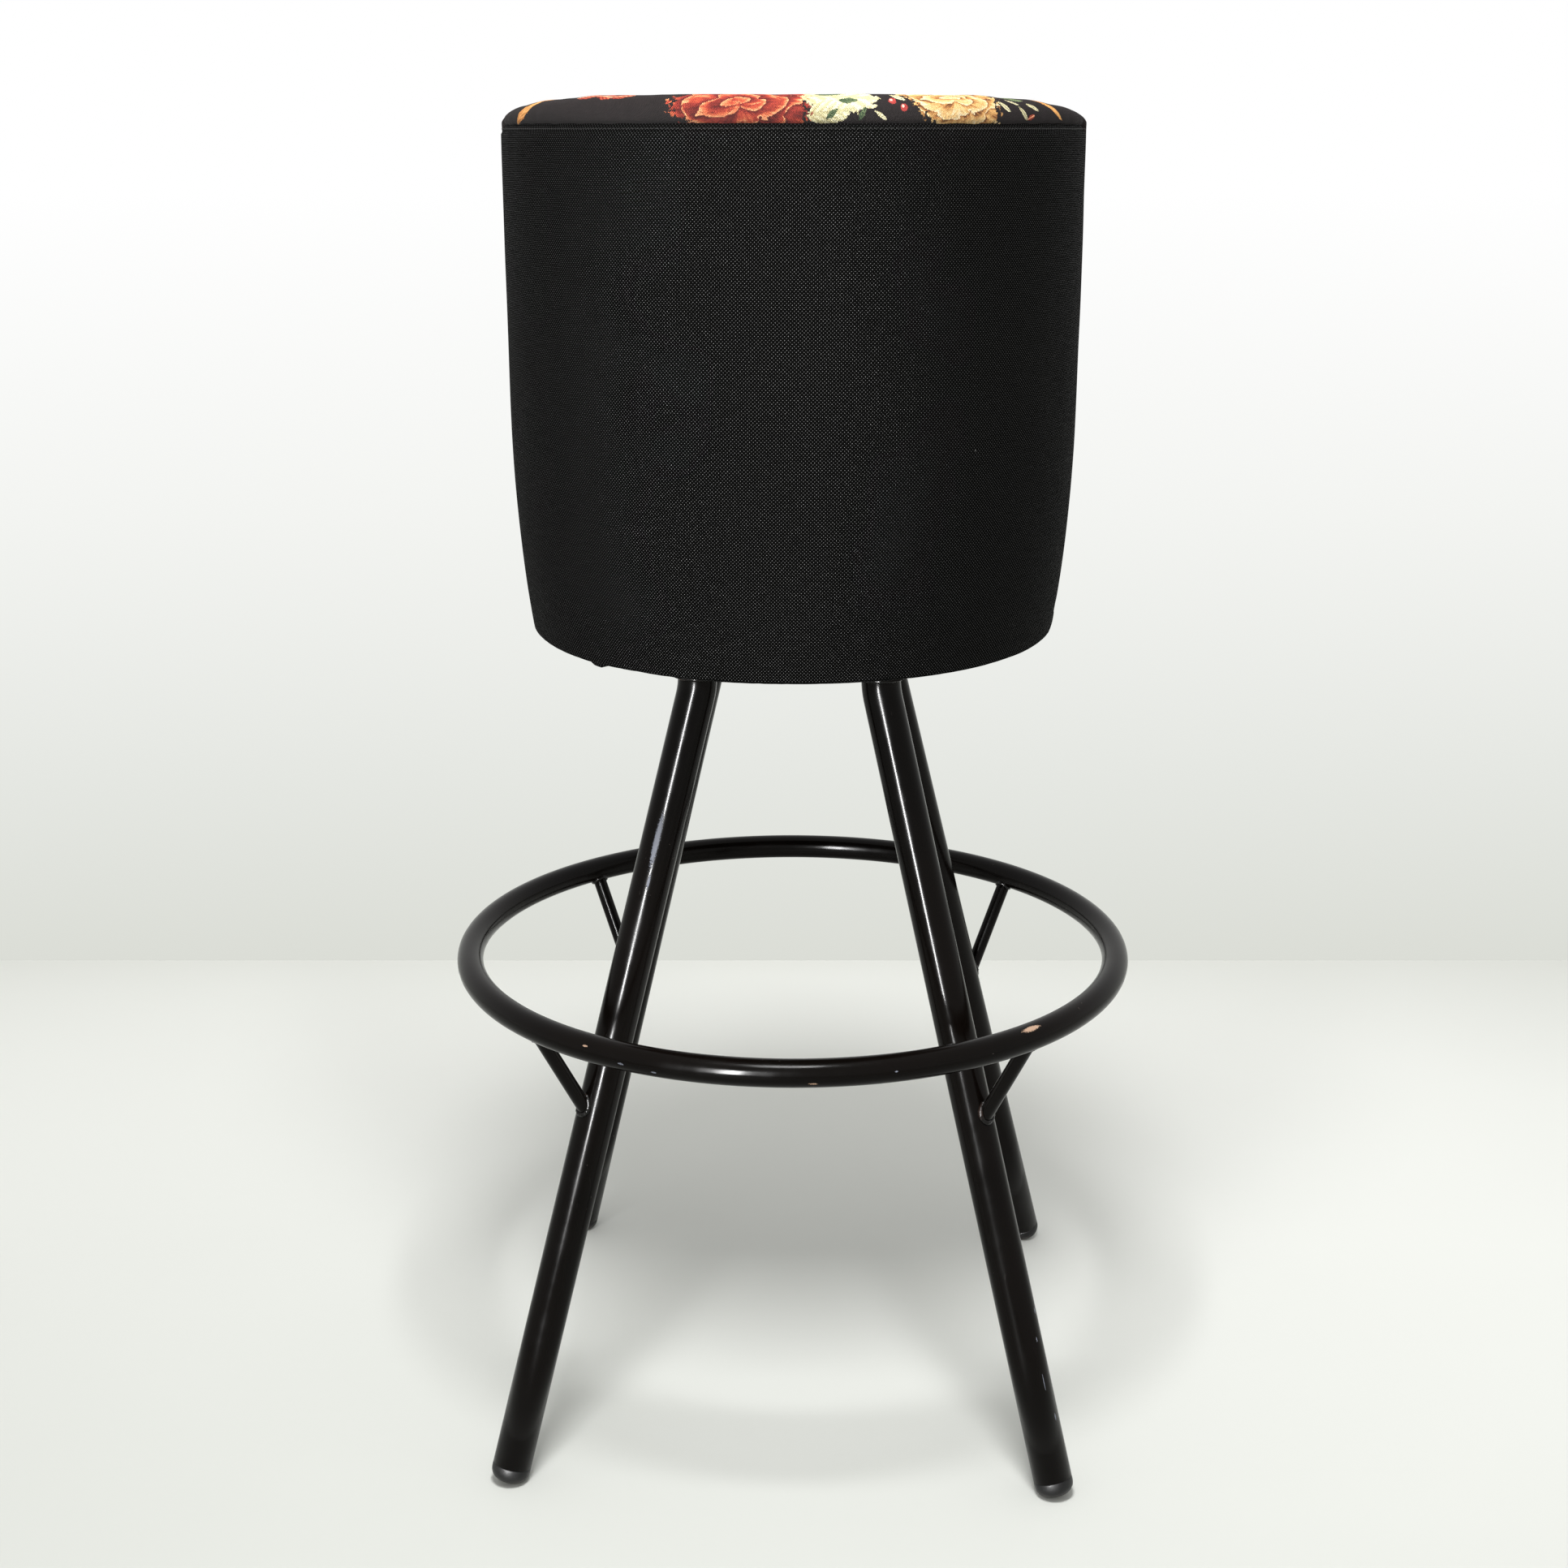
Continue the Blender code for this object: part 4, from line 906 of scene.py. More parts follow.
def make_glide(corner, foot, bend, plastic):
    """The plastic end cap: a rounded cap, worn flat on the floor."""
    direction = (foot - bend).normalized()
    leg = node_points("leg_" + corner)
    leg_reach = ((leg - np.array(foot)) @ np.array(direction)).max()
    profile = [
        (0.0, -GLIDE_HEIGHT),
        *arc((LEG_RADIUS - GLIDE_EDGE, -GLIDE_HEIGHT + GLIDE_EDGE), GLIDE_EDGE, -90, 0, 12),
        (LEG_RADIUS, -0.0009),
        (LEG_RADIUS - 0.0003, -0.0002),
        (LEG_RADIUS - 0.0014, 0.0),
        (GLIDE_NECK, 0.0),
        (GLIDE_NECK, 0.004),
    ]
    end = foot + direction * leg_reach
    turn = Vector((0, 0, 1)).rotation_difference(-direction).to_matrix().to_4x4()
    place = Matrix.Translation(end) @ turn
    mesh = turned_mesh("glide_cap_" + corner, profile, 56, place)
    for vertex in mesh.vertices:
        vertex.co.z = max(vertex.co.z, 0.0)
    weld_mesh(mesh)
    mesh.shade_smooth()
    add_piece("glide_cap_" + corner, mesh, plastic, "base", ["glide_" + corner])


# --------------------------------------------------------------- the tub
SEAM_ANGLE = math.pi / 2 - math.asin(SEAM_FRONT / MIDDLE_RADIUS)  # where the side seams are
FOLD_ANGLE = 42.3  # degrees left of the middle, where a fold hangs out of the hem
SEAM_LIP = 0.0040  # how far the pad's cloth dips in at the top seam
WING_LAP = 0.0026  # from the back of the pad to the inside of the wings, below the cushion's top
OUTSIDE_ROWS = 34  # rows of points on the pad's outside, over its roll, inside and below
ROLL_ROWS = 21
INSIDE_ROWS = 26
UNDER_ROWS = 14
WING_UNDER_ROWS = 5
STITCH_PITCH = 0.0040
STITCH_END = 0.02  # angle between the last stitch and the side seam
STITCH_PATH_STEPS = 520
SKIRT_THICKNESS = 0.0008
CAMBRIC_THICKNESS = 0.0006

# Where each piece's cloth is cut from, as an offset in the UVs.
CUSHION_CUT = (0.9, 2.6)
BAND_CUT = 3.4
WELT_CUT = 4.2
SKIRT_CUT = 5.0
CAMBRIC_CUT = 6.0


def hem_rise(angle):
    """How far the tub's lower edge lies above its lowest part; the two sides were pulled unevenly."""
    away = abs(math.degrees(angle))
    turns = [0, 14, 26, 31, 38, 47, 60, 77, 82, 86, 90]
    left = [0.0, 0.0, 0.0006, 0.0010, 0.0010, 0.0010, 0.0024, 0.0048, 0.0085, 0.0150, 0.0210]
    right = [0.0, 0.0, 0.0, 0.0001, 0.0002, 0.0006, 0.0016, 0.0044, 0.0085, 0.0150, 0.0210]
    fold = 0.0026 * smooth_step(1.5, 0.9, abs(math.degrees(angle) + FOLD_ANGLE))
    return float(np.interp(away, turns, left if angle < 0 else right)) - fold


def make_canvas_panel(canvas):
    """The black outside panel: folded over at the seams, and under the shell's lower edge."""
    columns = 150
    heights = 54
    turned_under = [
        (0.0, -0.0006),
        (-0.0030, -0.0018),
        (-0.0090, -0.0017),
        (-0.0170, -0.0014),
        (-0.0260, -0.0012),
    ]  # (inward, upward) from the lower edge
    points = np.zeros((columns + 1, heights + 1 + len(turned_under), 3))
    uvs = np.zeros((*points.shape[:2], 2))
    for i in range(columns + 1):
        angle = SEAM_ANGLE * (2 * i / columns - 1)
        bottom = HEM_HEIGHT + hem_rise(angle) + 0.0016
        edge = smooth_step(0.965, 1.0, abs(angle) / SEAM_ANGLE)
        along = 0.0
        for j in range(heights + 1):
            share = j / heights
            height = SEAM_HEIGHT + (bottom - SEAM_HEIGHT) * share
            top = smooth_step(0.008, 0.0, SEAM_HEIGHT - height)
            pull = 0.0006 * noise.noise(Vector((angle * 6.0, height * 9.0, 1.7)))
            pull += 0.0005 * math.sin(angle * 46) * math.exp(-(SEAM_HEIGHT - height) / 0.012)
            radius = tub_radius(height) - CANVAS_THICKNESS - 0.0042 * max(top, edge) ** 2
            radius += min(pull, 0.0)
            points[i, j] = at(angle, radius, height)
            if j:
                along += (Vector(points[i, j]) - Vector(points[i, j - 1])).length
            uvs[i, j] = (angle * TUB_RADIUS, along)
        for j, (inward, drop) in enumerate(turned_under, heights + 1):
            radius = tub_radius(bottom) - CANVAS_THICKNESS + inward
            ruffle = 0.0004 * noise.noise(Vector((angle * 30.0, inward * 60.0, 5.0)))
            height = bottom + drop + 0.0002 + max(0.0, ruffle)
            if inward < -0.02:
                height = max(height, bottom - 0.0010)
            points[i, j] = at(angle, radius, height)
            along += (Vector(points[i, j]) - Vector(points[i, j - 1])).length
            uvs[i, j] = (angle * TUB_RADIUS, along)
    mesh = grid_mesh("canvas_panel", points, uvs)
    panel = add_piece("canvas_panel", mesh, canvas, "seat", ["outer_back_cover"])
    thicken(panel, CANVAS_THICKNESS)
    height = float(uvs[columns // 2, -1, 1])


def make_shell(wood):
    """The curved plywood behind the pad, its lower edge cut to the tub's."""
    columns = 96
    heights = 26
    outer = 0.0026  # from the tub's outside to the shell's two faces
    inner = 0.0120
    points = np.zeros((columns + 1, 2 * heights, 3))
    uvs = np.zeros((columns + 1, 2 * heights + 1, 2))
    for i in range(columns + 1):
        angle = (SEAM_ANGLE - 0.0004) * (2 * i / columns - 1)
        bottom = max(SHELL_BOTTOM, HEM_HEIGHT + hem_rise(angle) + 0.0022)
        for j in range(2 * heights + 1):
            row = j % (2 * heights)
            share = row / (heights - 1) if row < heights else (2 * heights - 1 - row) / (heights - 1)
            height = bottom + (SHELL_TOP - bottom) * share
            inset = outer if row < heights else inner
            if inset == outer and share > 0.93:
                inset += 0.0040 * smooth_step(0.93, 1.0, share)
            if inset < inner:
                inset = max(inset, outer + 0.0044 * smooth_step(0.945, 0.980, abs(angle) / SEAM_ANGLE))
            if j < 2 * heights:
                points[i, j] = at(angle, tub_radius(height) - inset, height)
            uvs[i, j] = (angle * TUB_RADIUS, height)
    mesh = grid_mesh("ply_shell", points, uvs, (False, True), caps=True)
    add_piece("ply_shell", mesh, wood, "seat", ["back_shell"])


def stitch_marks(path, pitch):
    """Even places along a path, each with its direction and the path point before it."""
    length = sum((after - before).length for before, after in zip(path, path[1:]))
    marks = []
    index = 0
    travelled = 0.0
    for stitch in range(int(length / pitch)):
        target = stitch * pitch
        while index < len(path) - 2 and travelled + (path[index + 1] - path[index]).length < target:
            travelled += (path[index + 1] - path[index]).length
            index += 1
        along = (path[index + 1] - path[index]).normalized()
        marks.append((path[index] + along * (target - travelled), along, index))
    return marks


def make_stitches(name, path, outward, thread):
    """A row of stitches along a path: short raised arches of thread."""
    size = 0.0003
    rings, sides = 6, 6
    verts = []
    faces = []
    for place, along, index in stitch_marks(path, STITCH_PITCH):
        out = outward[index]
        side = along.cross(out)
        first = len(verts)
        for ring in range(rings):
            share = ring / (rings - 1)
            rise = math.sin(math.pi * share) * size * 0.9 - size * 0.35
            centre = place + along * (STITCH_PITCH * 0.76 * share) + out * rise
            for step in range(sides):
                turn = math.tau * step / sides
                verts.append(centre + (side * math.cos(turn) + out * math.sin(turn)) * size)
        for ring in range(rings - 1):
            for step in range(sides):
                a = first + ring * sides + step
                b = first + ring * sides + (step + 1) % sides
                faces.append((a, b, b + sides, a + sides))
        faces.append([first + step for step in range(sides - 1, -1, -1)])
        faces.append([first + (rings - 1) * sides + step for step in range(sides)])
    mesh = bpy.data.meshes.new(name)
    mesh.from_pydata([tuple(v) for v in verts], [], faces)
    mesh.shade_smooth()
    add_piece(name, mesh, thread, "seat")


def make_top_stitching(thread):
    """The row of stitches on the panel, a little below the top seam."""
    height = SEAM_HEIGHT - 0.0032
    path = []
    outward = []
    for step in range(STITCH_PATH_STEPS + 1):
        angle = (SEAM_ANGLE - STITCH_END) * (2 * step / STITCH_PATH_STEPS - 1)
        path.append(Vector(at(angle, tub_radius(height) - 0.0016, height)))
        outward.append(Vector(at(angle, 1.0, 0.0)))
    make_stitches("top_stitching", path, outward, thread)


def pad_section(full, drop):
    """Section of the back pad as (radius, height): up the outside, over the roll, down the inside.

    full is for the wings, which cover the shell's front edge down to its lower end.
    """
    foot = SEAT_UNDERSIDE + 0.0006
    section = []
    for step in range(OUTSIDE_ROWS):
        share = step / (OUTSIDE_ROWS - 1)
        if full:
            height = foot + (SEAM_HEIGHT - foot) * share
            section.append((tub_radius(height) - 0.0004, height))
        else:
            height = PAD_BOTTOM + (SEAM_HEIGHT - PAD_BOTTOM) * share
            reach = tub_radius(height) - SHELL_BACKING
            lip = smooth_step(SEAM_HEIGHT - 0.0035, SEAM_HEIGHT, height)
            section.append((reach + (TUB_RADIUS - SEAM_LIP - reach) * lip, height + 0.0003 * lip))
    for step in range(1, ROLL_ROWS + 1):
        turn = math.pi * step / (ROLL_ROWS + 1)
        reach = MIDDLE_RADIUS + ROLL_RADIUS * math.cos(turn)
        if not full:
            reach -= SEAM_LIP * (1 - math.sin(turn)) * max(0.0, math.cos(turn)) ** 2
        section.append((reach, SEAM_HEIGHT + (ROLL_RADIUS - drop) * math.sin(turn)))
    for step in range(INSIDE_ROWS):
        share = step / (INSIDE_ROWS - 1)
        height = SEAM_HEIGHT - (SEAM_HEIGHT - PAD_BOTTOM - 0.003) * share
        section.append((PAD_INSIDE + 0.0004, height))
    back = tub_radius(PAD_BOTTOM) - SHELL_BACKING
    for step in range(1, UNDER_ROWS + 1):
        if full and step <= WING_UNDER_ROWS:
            share = step / WING_UNDER_ROWS
            round_off = 0.003 * (1 - share) ** 2
            reach = PAD_INSIDE + (back + 0.0020 - PAD_INSIDE) * share
            section.append((reach, PAD_BOTTOM + round_off + 0.0002))
        elif full:
            share = (step - WING_UNDER_ROWS) / (UNDER_ROWS - WING_UNDER_ROWS)
            height = PAD_BOTTOM - (PAD_BOTTOM - foot) * share
            section.append((tub_radius(height) - SHELL_BACKING + WING_LAP, height))
        else:
            share = step / (UNDER_ROWS + 1)
            round_off = 0.003 * (1 - min(1.0, share * 4)) ** 2
            section.append((PAD_INSIDE + (back - PAD_INSIDE) * share, PAD_BOTTOM + round_off + 0.0002))
    return section


def section_lengths(section):
    """Arc length round a section, counted from the seam: up over the roll, and down below it."""
    lengths = [0.0]
    for before, after in zip(section, section[1:] + section[:1]):
        lengths.append(lengths[-1] + math.dist(before, after))
    return [length - lengths[OUTSIDE_ROWS - 1] for length in lengths]


def top_drop(angle):
    """How much lower the roll lies towards its front ends."""
    turns = [40, 57, 65, 72, 79, 86]
    drops = [0, 0.0025, 0.0050, 0.0066, 0.0088, 0.0105]
    return float(np.interp(abs(math.degrees(angle)), turns, drops))


def pad_columns():
    """The pad's columns from right to left: (angle, share of the full thickness, whether in a wing)."""
    centre_angle = math.pi / 2 - 0.0152 / MIDDLE_RADIUS
    half = [(angle, 1.0, False) for angle in np.linspace(0, SEAM_ANGLE, 62)]
    for step in range(15):
        turn = math.radians(2.0 + 86.5 * step / 14)
        angle = centre_angle + ROLL_RADIUS * math.sin(turn) / MIDDLE_RADIUS
        half.append((max(angle, SEAM_ANGLE + 0.0008), max(math.cos(turn) ** 0.72, 0.04), True))
    return [(-angle, share, wing) for angle, share, wing in reversed(half)][:-1] + half


def wing_place(angle, share, radius, height):
    """A wing's point, drawn in towards the middle of its thickness by the share."""
    below = height < PAD_BOTTOM + 0.0004
    inner = tub_radius(height) - SHELL_BACKING + WING_LAP if below else PAD_INSIDE
    outer = tub_radius(min(height, SEAM_HEIGHT))
    middle = (inner + outer) / 2
    radius = middle + (radius - middle) * share
    if height > SEAM_HEIGHT:
        height = SEAM_HEIGHT + (height - SEAM_HEIGHT) * share
    lowest = HEM_HEIGHT + hem_rise(angle) + 0.002 + 0.006 * (1 - share) ** 2
    return radius, max(height, lowest)


def lay_out_wings(columns, points, uvs):
    """Count the UVs across each wing by its own length, so that the flowers aren't squeezed."""
    backs = [i for i, column in enumerate(columns) if not column[2]]
    for edge, step, stop in ((backs[0], -1, -1), (backs[-1], 1, len(columns))):
        for i in range(edge + step, stop, step):
            moved = 0.0004
            if i != edge + step:
                moved = np.linalg.norm(points[i, 20] - points[i - step, 20])
            uvs[i, :, 0] = uvs[i - step, 0, 0] + step * moved


def wrinkle_pad(mesh):
    """Gathers along the top seam, and soft hollows everywhere."""
    for vertex in mesh.vertices:
        place = vertex.co
        angle = math.atan2(-place.x, place.y)
        over = smooth_step(0.016, 0.0, abs(place.z - SEAM_HEIGHT - 0.004))
        gather = math.sin(angle * 61 + 2.2 * noise.noise(Vector((angle * 5, 0.3, 2.0))))
        radius = math.hypot(place.x, place.y)
        soft = noise.noise(Vector((place.x * 16, place.y * 16, place.z * 16)))
        pull = 0.0007 * min(gather, 0.0) * over + 0.0010 * min(soft, 0.0)
        if radius > MIDDLE_RADIUS and place.z < SEAM_HEIGHT - 0.001 and abs(angle) < SEAM_ANGLE:
            pull = 0.0
        scale = (radius + (pull if radius > MIDDLE_RADIUS else -pull)) / radius
        vertex.co = (place.x * scale, place.y * scale, min(place.z, pad_high.z + 0.0006))


def make_back_pad(tapestry):
    """The floral pad: inside of the back, top roll and the wings in front of the side seams."""
    columns = pad_columns()
    rows = len(pad_section(True, 0.0))
    points = np.zeros((len(columns), rows, 3))
    uvs = np.zeros((len(columns), rows + 1, 2))
    for i, (angle, share, wing) in enumerate(columns):
        section = pad_section(wing, top_drop(angle))
        lengths = section_lengths(section)
        for j in range(rows + 1):
            radius, height = section[j % rows]
            if wing:
                radius, height = wing_place(angle, share, radius, height)
            if j < rows:
                points[i, j] = at(angle, radius, height)
            uvs[i, j] = (angle * TUB_RADIUS, lengths[j])
    lay_out_wings(columns, points, uvs)
    mesh = grid_mesh("floral_back_pad", points, uvs, (False, True), caps=True)
    pad = add_piece("floral_back_pad", mesh, tapestry, "seat", ["inside_back_pad"])
    last_free = OUTSIDE_ROWS + ROLL_ROWS + INSIDE_ROWS - 1
    held = []
    for index in range(len(mesh.vertices)):
        i, j = divmod(index, rows)
        free = OUTSIDE_ROWS <= j < last_free or (columns[i][2] and j < OUTSIDE_ROWS)
        held.append(0.0 if free and 2 < i < len(columns) - 3 else 1.0)
    puff(pad, held, 3.0, 0.0030)
    wrinkle_pad(mesh)
    subdivide(pad)


PUFF_FRAMES = 20
PUFF_SETTINGS = {
    "quality": 5,
    "mass": 0.3,
    "tension_stiffness": 18,
    "compression_stiffness": 14,
    "shear_stiffness": 8,
    "bending_stiffness": 0.6,
    "use_pressure": True,
}


def puff(piece, held, pressure, limit):
    """Fill a closed cloth form with pressure, and keep what moved, up to a limit."""
    scene = bpy.context.scene
    mesh = piece.data
    normals = [vertex.normal.copy() for vertex in mesh.vertices]
    group = piece.vertex_groups.new(name="held")
    for index, weight in enumerate(held):
        if weight > 0:
            group.add([index], weight, "REPLACE")
    modifier = piece.modifiers.new("puff", "CLOTH")
    settings = modifier.settings
    for key, value in PUFF_SETTINGS.items():
        setattr(settings, key, value)
    settings.uniform_pressure_force = pressure
    settings.effector_weights.gravity = 0
    settings.vertex_group_mass = "held"
    modifier.point_cache.frame_start = 1
    modifier.point_cache.frame_end = PUFF_FRAMES
    for frame_number in range(1, PUFF_FRAMES + 1):
        scene.frame_set(frame_number)
    evaluated = piece.evaluated_get(bpy.context.evaluated_depsgraph_get()).data
    moved = [Vector(vertex.co) for vertex in evaluated.vertices]
    piece.modifiers.remove(modifier)
    scene.frame_set(1)
    for vertex, place in zip(mesh.vertices, moved):
        step = place - vertex.co
        inward = min(0.0, step.dot(normals[vertex.index]))
        step -= normals[vertex.index] * inward * 0.85
        if step.length > limit:
            step *= limit / step.length
        vertex.co += step
    piece.vertex_groups.clear()


CUSHION_STEPS = 120
CUSHION_SEAM_RADIUS = CUSHION_RADIUS - 0.0045  # of the seam between the top panel and the band
CUSHION_SEAM_HEIGHT = PAD_BOTTOM - 0.0082
CUSHION_SLACK = 0.0003  # how far the puffed band may pass the CAD cushion


def cushion_profiles():
    """Sections of the top panel, the band and the bottom panel, and whether each is cut flat."""
    top = []
    for degrees in range(0, 91, 3):
        radius = CUSHION_SEAM_RADIUS * math.sin(math.radians(degrees))
        crown = 1 - (radius / CUSHION_SEAM_RADIUS) ** 4.5
        top.append((radius, CUSHION_SEAM_HEIGHT + (CUSHION_TOP - 0.001 - CUSHION_SEAM_HEIGHT) * crown))
    band = []
    for step in range(15):
        share = step / 14
        height = CUSHION_SEAM_HEIGHT + (CUSHION_BOTTOM + 0.003 - CUSHION_SEAM_HEIGHT) * share
        bulge = 0.0040 * math.sin(math.pi * min(1.0, share * 1.05 + 0.02)) ** 0.7
        band.append((CUSHION_SEAM_RADIUS + bulge, height))
    edge = band[-1][0]
    bottom = [
        band[-1],
        (edge - 0.0010, CUSHION_BOTTOM + 0.0006),
        (edge - 0.004, CUSHION_BOTTOM),
        (0.12, CUSHION_BOTTOM),
        (0.05, CUSHION_BOTTOM),
        (0.0, CUSHION_BOTTOM),
    ]
    return (top, True), (band, False), (bottom, True)


def cushion_mesh():
    """The cushion's three panels, sewn into one closed form."""
    bm = bmesh.new()
    for profile, flat in cushion_profiles():
        rows = len(profile)
        points = np.zeros((rows, CUSHION_STEPS, 3))
        uvs = np.zeros((rows, CUSHION_STEPS + 1, 2))
        for i, (radius, height) in enumerate(profile):
            for j in range(CUSHION_STEPS + 1):
                turn = math.tau * j / CUSHION_STEPS
                place = (radius * math.cos(turn), radius * math.sin(turn), height)
                if j < CUSHION_STEPS:
                    points[i, j] = place
                if flat:
                    uvs[i, j] = (place[0] + CUSHION_CUT[0], place[1] + CUSHION_CUT[1])
                else:
                    uvs[i, j] = (turn * CUSHION_RADIUS, BAND_CUT + height)
        panel = grid_mesh("panel", points, uvs, (False, True))
        bm.from_mesh(panel)
        bpy.data.meshes.remove(panel)
    bmesh.ops.remove_doubles(bm, verts=bm.verts, dist=0.00001)
    bmesh.ops.recalc_face_normals(bm, faces=bm.faces)
    mesh = bpy.data.meshes.new("floral_cushion")
    bm.to_mesh(mesh)
    bm.free()
    mesh.shade_smooth()
    return mesh


def wrinkle_cushion(mesh):
    """Gathers along the seam and soft hollows, kept below the back pad and inside the CAD cushion."""
    low = CUSHION_SEAM_HEIGHT - 0.01
    high = CUSHION_SEAM_HEIGHT + 0.004
    widest = CUSHION_RADIUS + CUSHION_SLACK
    for vertex in mesh.vertices:
        place = vertex.co
        radius = math.hypot(place.x, place.y)
        turn = math.atan2(place.y, place.x)
        away = math.dist((radius, place.z), (CUSHION_SEAM_RADIUS, CUSHION_SEAM_HEIGHT))
        gather = math.sin(turn * 58 + 3 * noise.noise(Vector((turn * 3, 1.0, 0.5))))
        dent = 0.0009 * min(gather, 0.0) * smooth_step(0.022, 0.0, away)
        soft = 0.0014 * noise.noise(Vector((place.x * 11, place.y * 11, place.z * 20)))
        if place.z > CUSHION_BOTTOM + 0.004:
            place.z += dent + soft * smooth_step(low, high, place.z)
        if radius > PAD_INSIDE - 0.004 and place.y > pad_low.y - 0.010:
            place.z = min(place.z, PAD_BOTTOM - 0.0011)
        place.z = min(place.z, CUSHION_TOP + 0.001)
        if radius > widest:
            place.x *= widest / radius
            place.y *= widest / radius


def on_cushion_seam(place):
    """Whether a point of the unpuffed cushion lies on the seam below its top panel."""
    radius = math.hypot(place.x, place.y)
    return abs(radius - CUSHION_SEAM_RADIUS) < 0.0001 and abs(place.z - CUSHION_SEAM_HEIGHT) < 0.0001


def make_cushion(tapestry):
    """The seat cushion, and the welt sewn into its upper seam."""
    mesh = cushion_mesh()
    cushion = add_piece("floral_cushion", mesh, tapestry, "seat", ["seat_cushion"])
    rest = [Vector(vertex.co) for vertex in mesh.vertices]
    held = [1.0 if place.z < CUSHION_BOTTOM + 0.004 else 0.0 for place in rest]
    seam = [index for index, place in enumerate(rest) if on_cushion_seam(place)]
    seam.sort(key=lambda index: math.atan2(rest[index].y, rest[index].x))
    for index in seam:
        held[index] = 0.7
    puff(cushion, held, 4.0, 0.0035)
    wrinkle_cushion(mesh)
    loop = [mesh.vertices[index].co.copy() for index in seam]
    for place in loop:
        radius = math.hypot(place.x, place.y)
        place.x *= (radius + 0.0006) / radius
        place.y *= (radius + 0.0006) / radius
        place.z = min(place.z + 0.0006, PAD_BOTTOM - 0.0036)
    welt = sweep_mesh("cushion_welt", loop, 0.0026, 14, (0, 0, 1), closed=True, along=WELT_CUT)
    piping = add_piece("cushion_welt", welt, tapestry, "seat")
    subdivide(piping)
    subdivide(cushion)


def make_front_skirt(tapestry):
    """The strip that covers the board's front edge and is turned under the board."""
    start = math.pi / 2 + 0.045
    columns = 110
    profile = [
        (BOARD_RADIUS + 0.0004, BOARD_TOP + 0.0052),
        (BOARD_RADIUS + 0.0013, BOARD_TOP + 0.0040),
        (BOARD_RADIUS + 0.0014, BOARD_TOP - 0.004),
        (BOARD_RADIUS + 0.0012, SEAT_UNDERSIDE + 0.004),
        (BOARD_RADIUS + 0.0009, SEAT_UNDERSIDE + 0.0006),
        (BOARD_RADIUS - 0.0008, SEAT_UNDERSIDE - 0.0010),
        (BOARD_RADIUS - 0.0065, SEAT_UNDERSIDE - 0.0011),
        (BOARD_RADIUS - 0.0125, SEAT_UNDERSIDE - 0.0010),
    ]
    points = np.zeros((columns + 1, len(profile), 3))
    uvs = np.zeros((columns + 1, len(profile), 2))
    for i in range(columns + 1):
        angle = start + (math.tau - 2 * start) * i / columns
        along = 0.0
        for j, (radius, height) in enumerate(profile):
            ease = 0.0004 * noise.noise(Vector((angle * 14, height * 90, 0.4)))
            points[i, j] = at(angle, radius + max(ease, 0.0), height)
            if j:
                along += math.dist(profile[j], profile[j - 1])
            uvs[i, j] = (angle * BOARD_RADIUS, SKIRT_CUT - along)
    mesh = grid_mesh("front_skirt", points, uvs)
    skirt = add_piece("front_skirt", mesh, tapestry, "seat")
    thicken(skirt, SKIRT_THICKNESS)
    subdivide(skirt)


def make_dust_cover(cambric):
    """Thin cloth under the board, cut out round the swivel plate, sagging a little."""
    rows, columns = 16, 160
    outer = BOARD_RADIUS - 0.0064
    half = 0.088  # of the square opening's side
    corner = 0.012  # round of its corners
    points = np.zeros((rows + 1, columns, 3))
    uvs = np.zeros((rows + 1, columns + 1, 2))
    for j in range(columns + 1):
        turn = math.tau * j / columns
        ray = Vector((math.cos(turn), math.sin(turn)))
        square = half / max(abs(ray.x), abs(ray.y))
        opening = min(square, (half - corner) * math.sqrt(2) + corner)
        slack = 0.6 + 0.5 * noise.noise(Vector((ray.x * 3, ray.y * 3, 0.2)))
        for i in range(rows + 1):
            share = i / rows
            radius = opening + (outer - opening) * share
            held = smooth_step(0.93, 1.0, share)
            fold = smooth_step(0.08, 0.0, share) + held
            sag = 0.0016 * math.sin(math.pi * share) * slack
            pleat = 0.0005 * math.sin(turn * 24) * smooth_step(0.6, 1.0, share) * (1 - held)
            height = SEAT_UNDERSIDE - 0.0007 - sag + pleat - 0.0003 * fold
            if j < columns:
                points[i, j] = (radius * ray.x, radius * ray.y, height)
            uvs[i, j] = (radius * ray.x + CAMBRIC_CUT, radius * ray.y)
    mesh = grid_mesh("dust_cloth", points, uvs, (False, True))
    cloth = add_piece("dust_cloth", mesh, cambric, "seat", ["dust_cover"])
    thicken(cloth, CAMBRIC_THICKNESS)


STAPLE_COUNT = 46
STAPLE_WIDTH = 0.0098
STAPLE_WIRE = 0.00042  # radius


def staple_places():
    """Places and directions of the ring of staples that holds the cloth's turned-under edges."""
    places = []
    for step in range(STAPLE_COUNT):
        angle = math.tau * step / STAPLE_COUNT + 0.010 * noise.noise(Vector((step * 1.7, 0.4, 0.0)))
        radius = BOARD_RADIUS - 0.0105 + 0.0009 * noise.noise(Vector((step * 2.3, 3.4, 0.0)))
        tilt = 0.12 * noise.noise(Vector((step * 0.9, 7.1, 0.0)))
        along = Vector((math.cos(angle + tilt), math.sin(angle + tilt), 0))
        places.append((Vector(at(angle, radius, SEAT_UNDERSIDE - 0.0019)), along.normalized()))
    return places


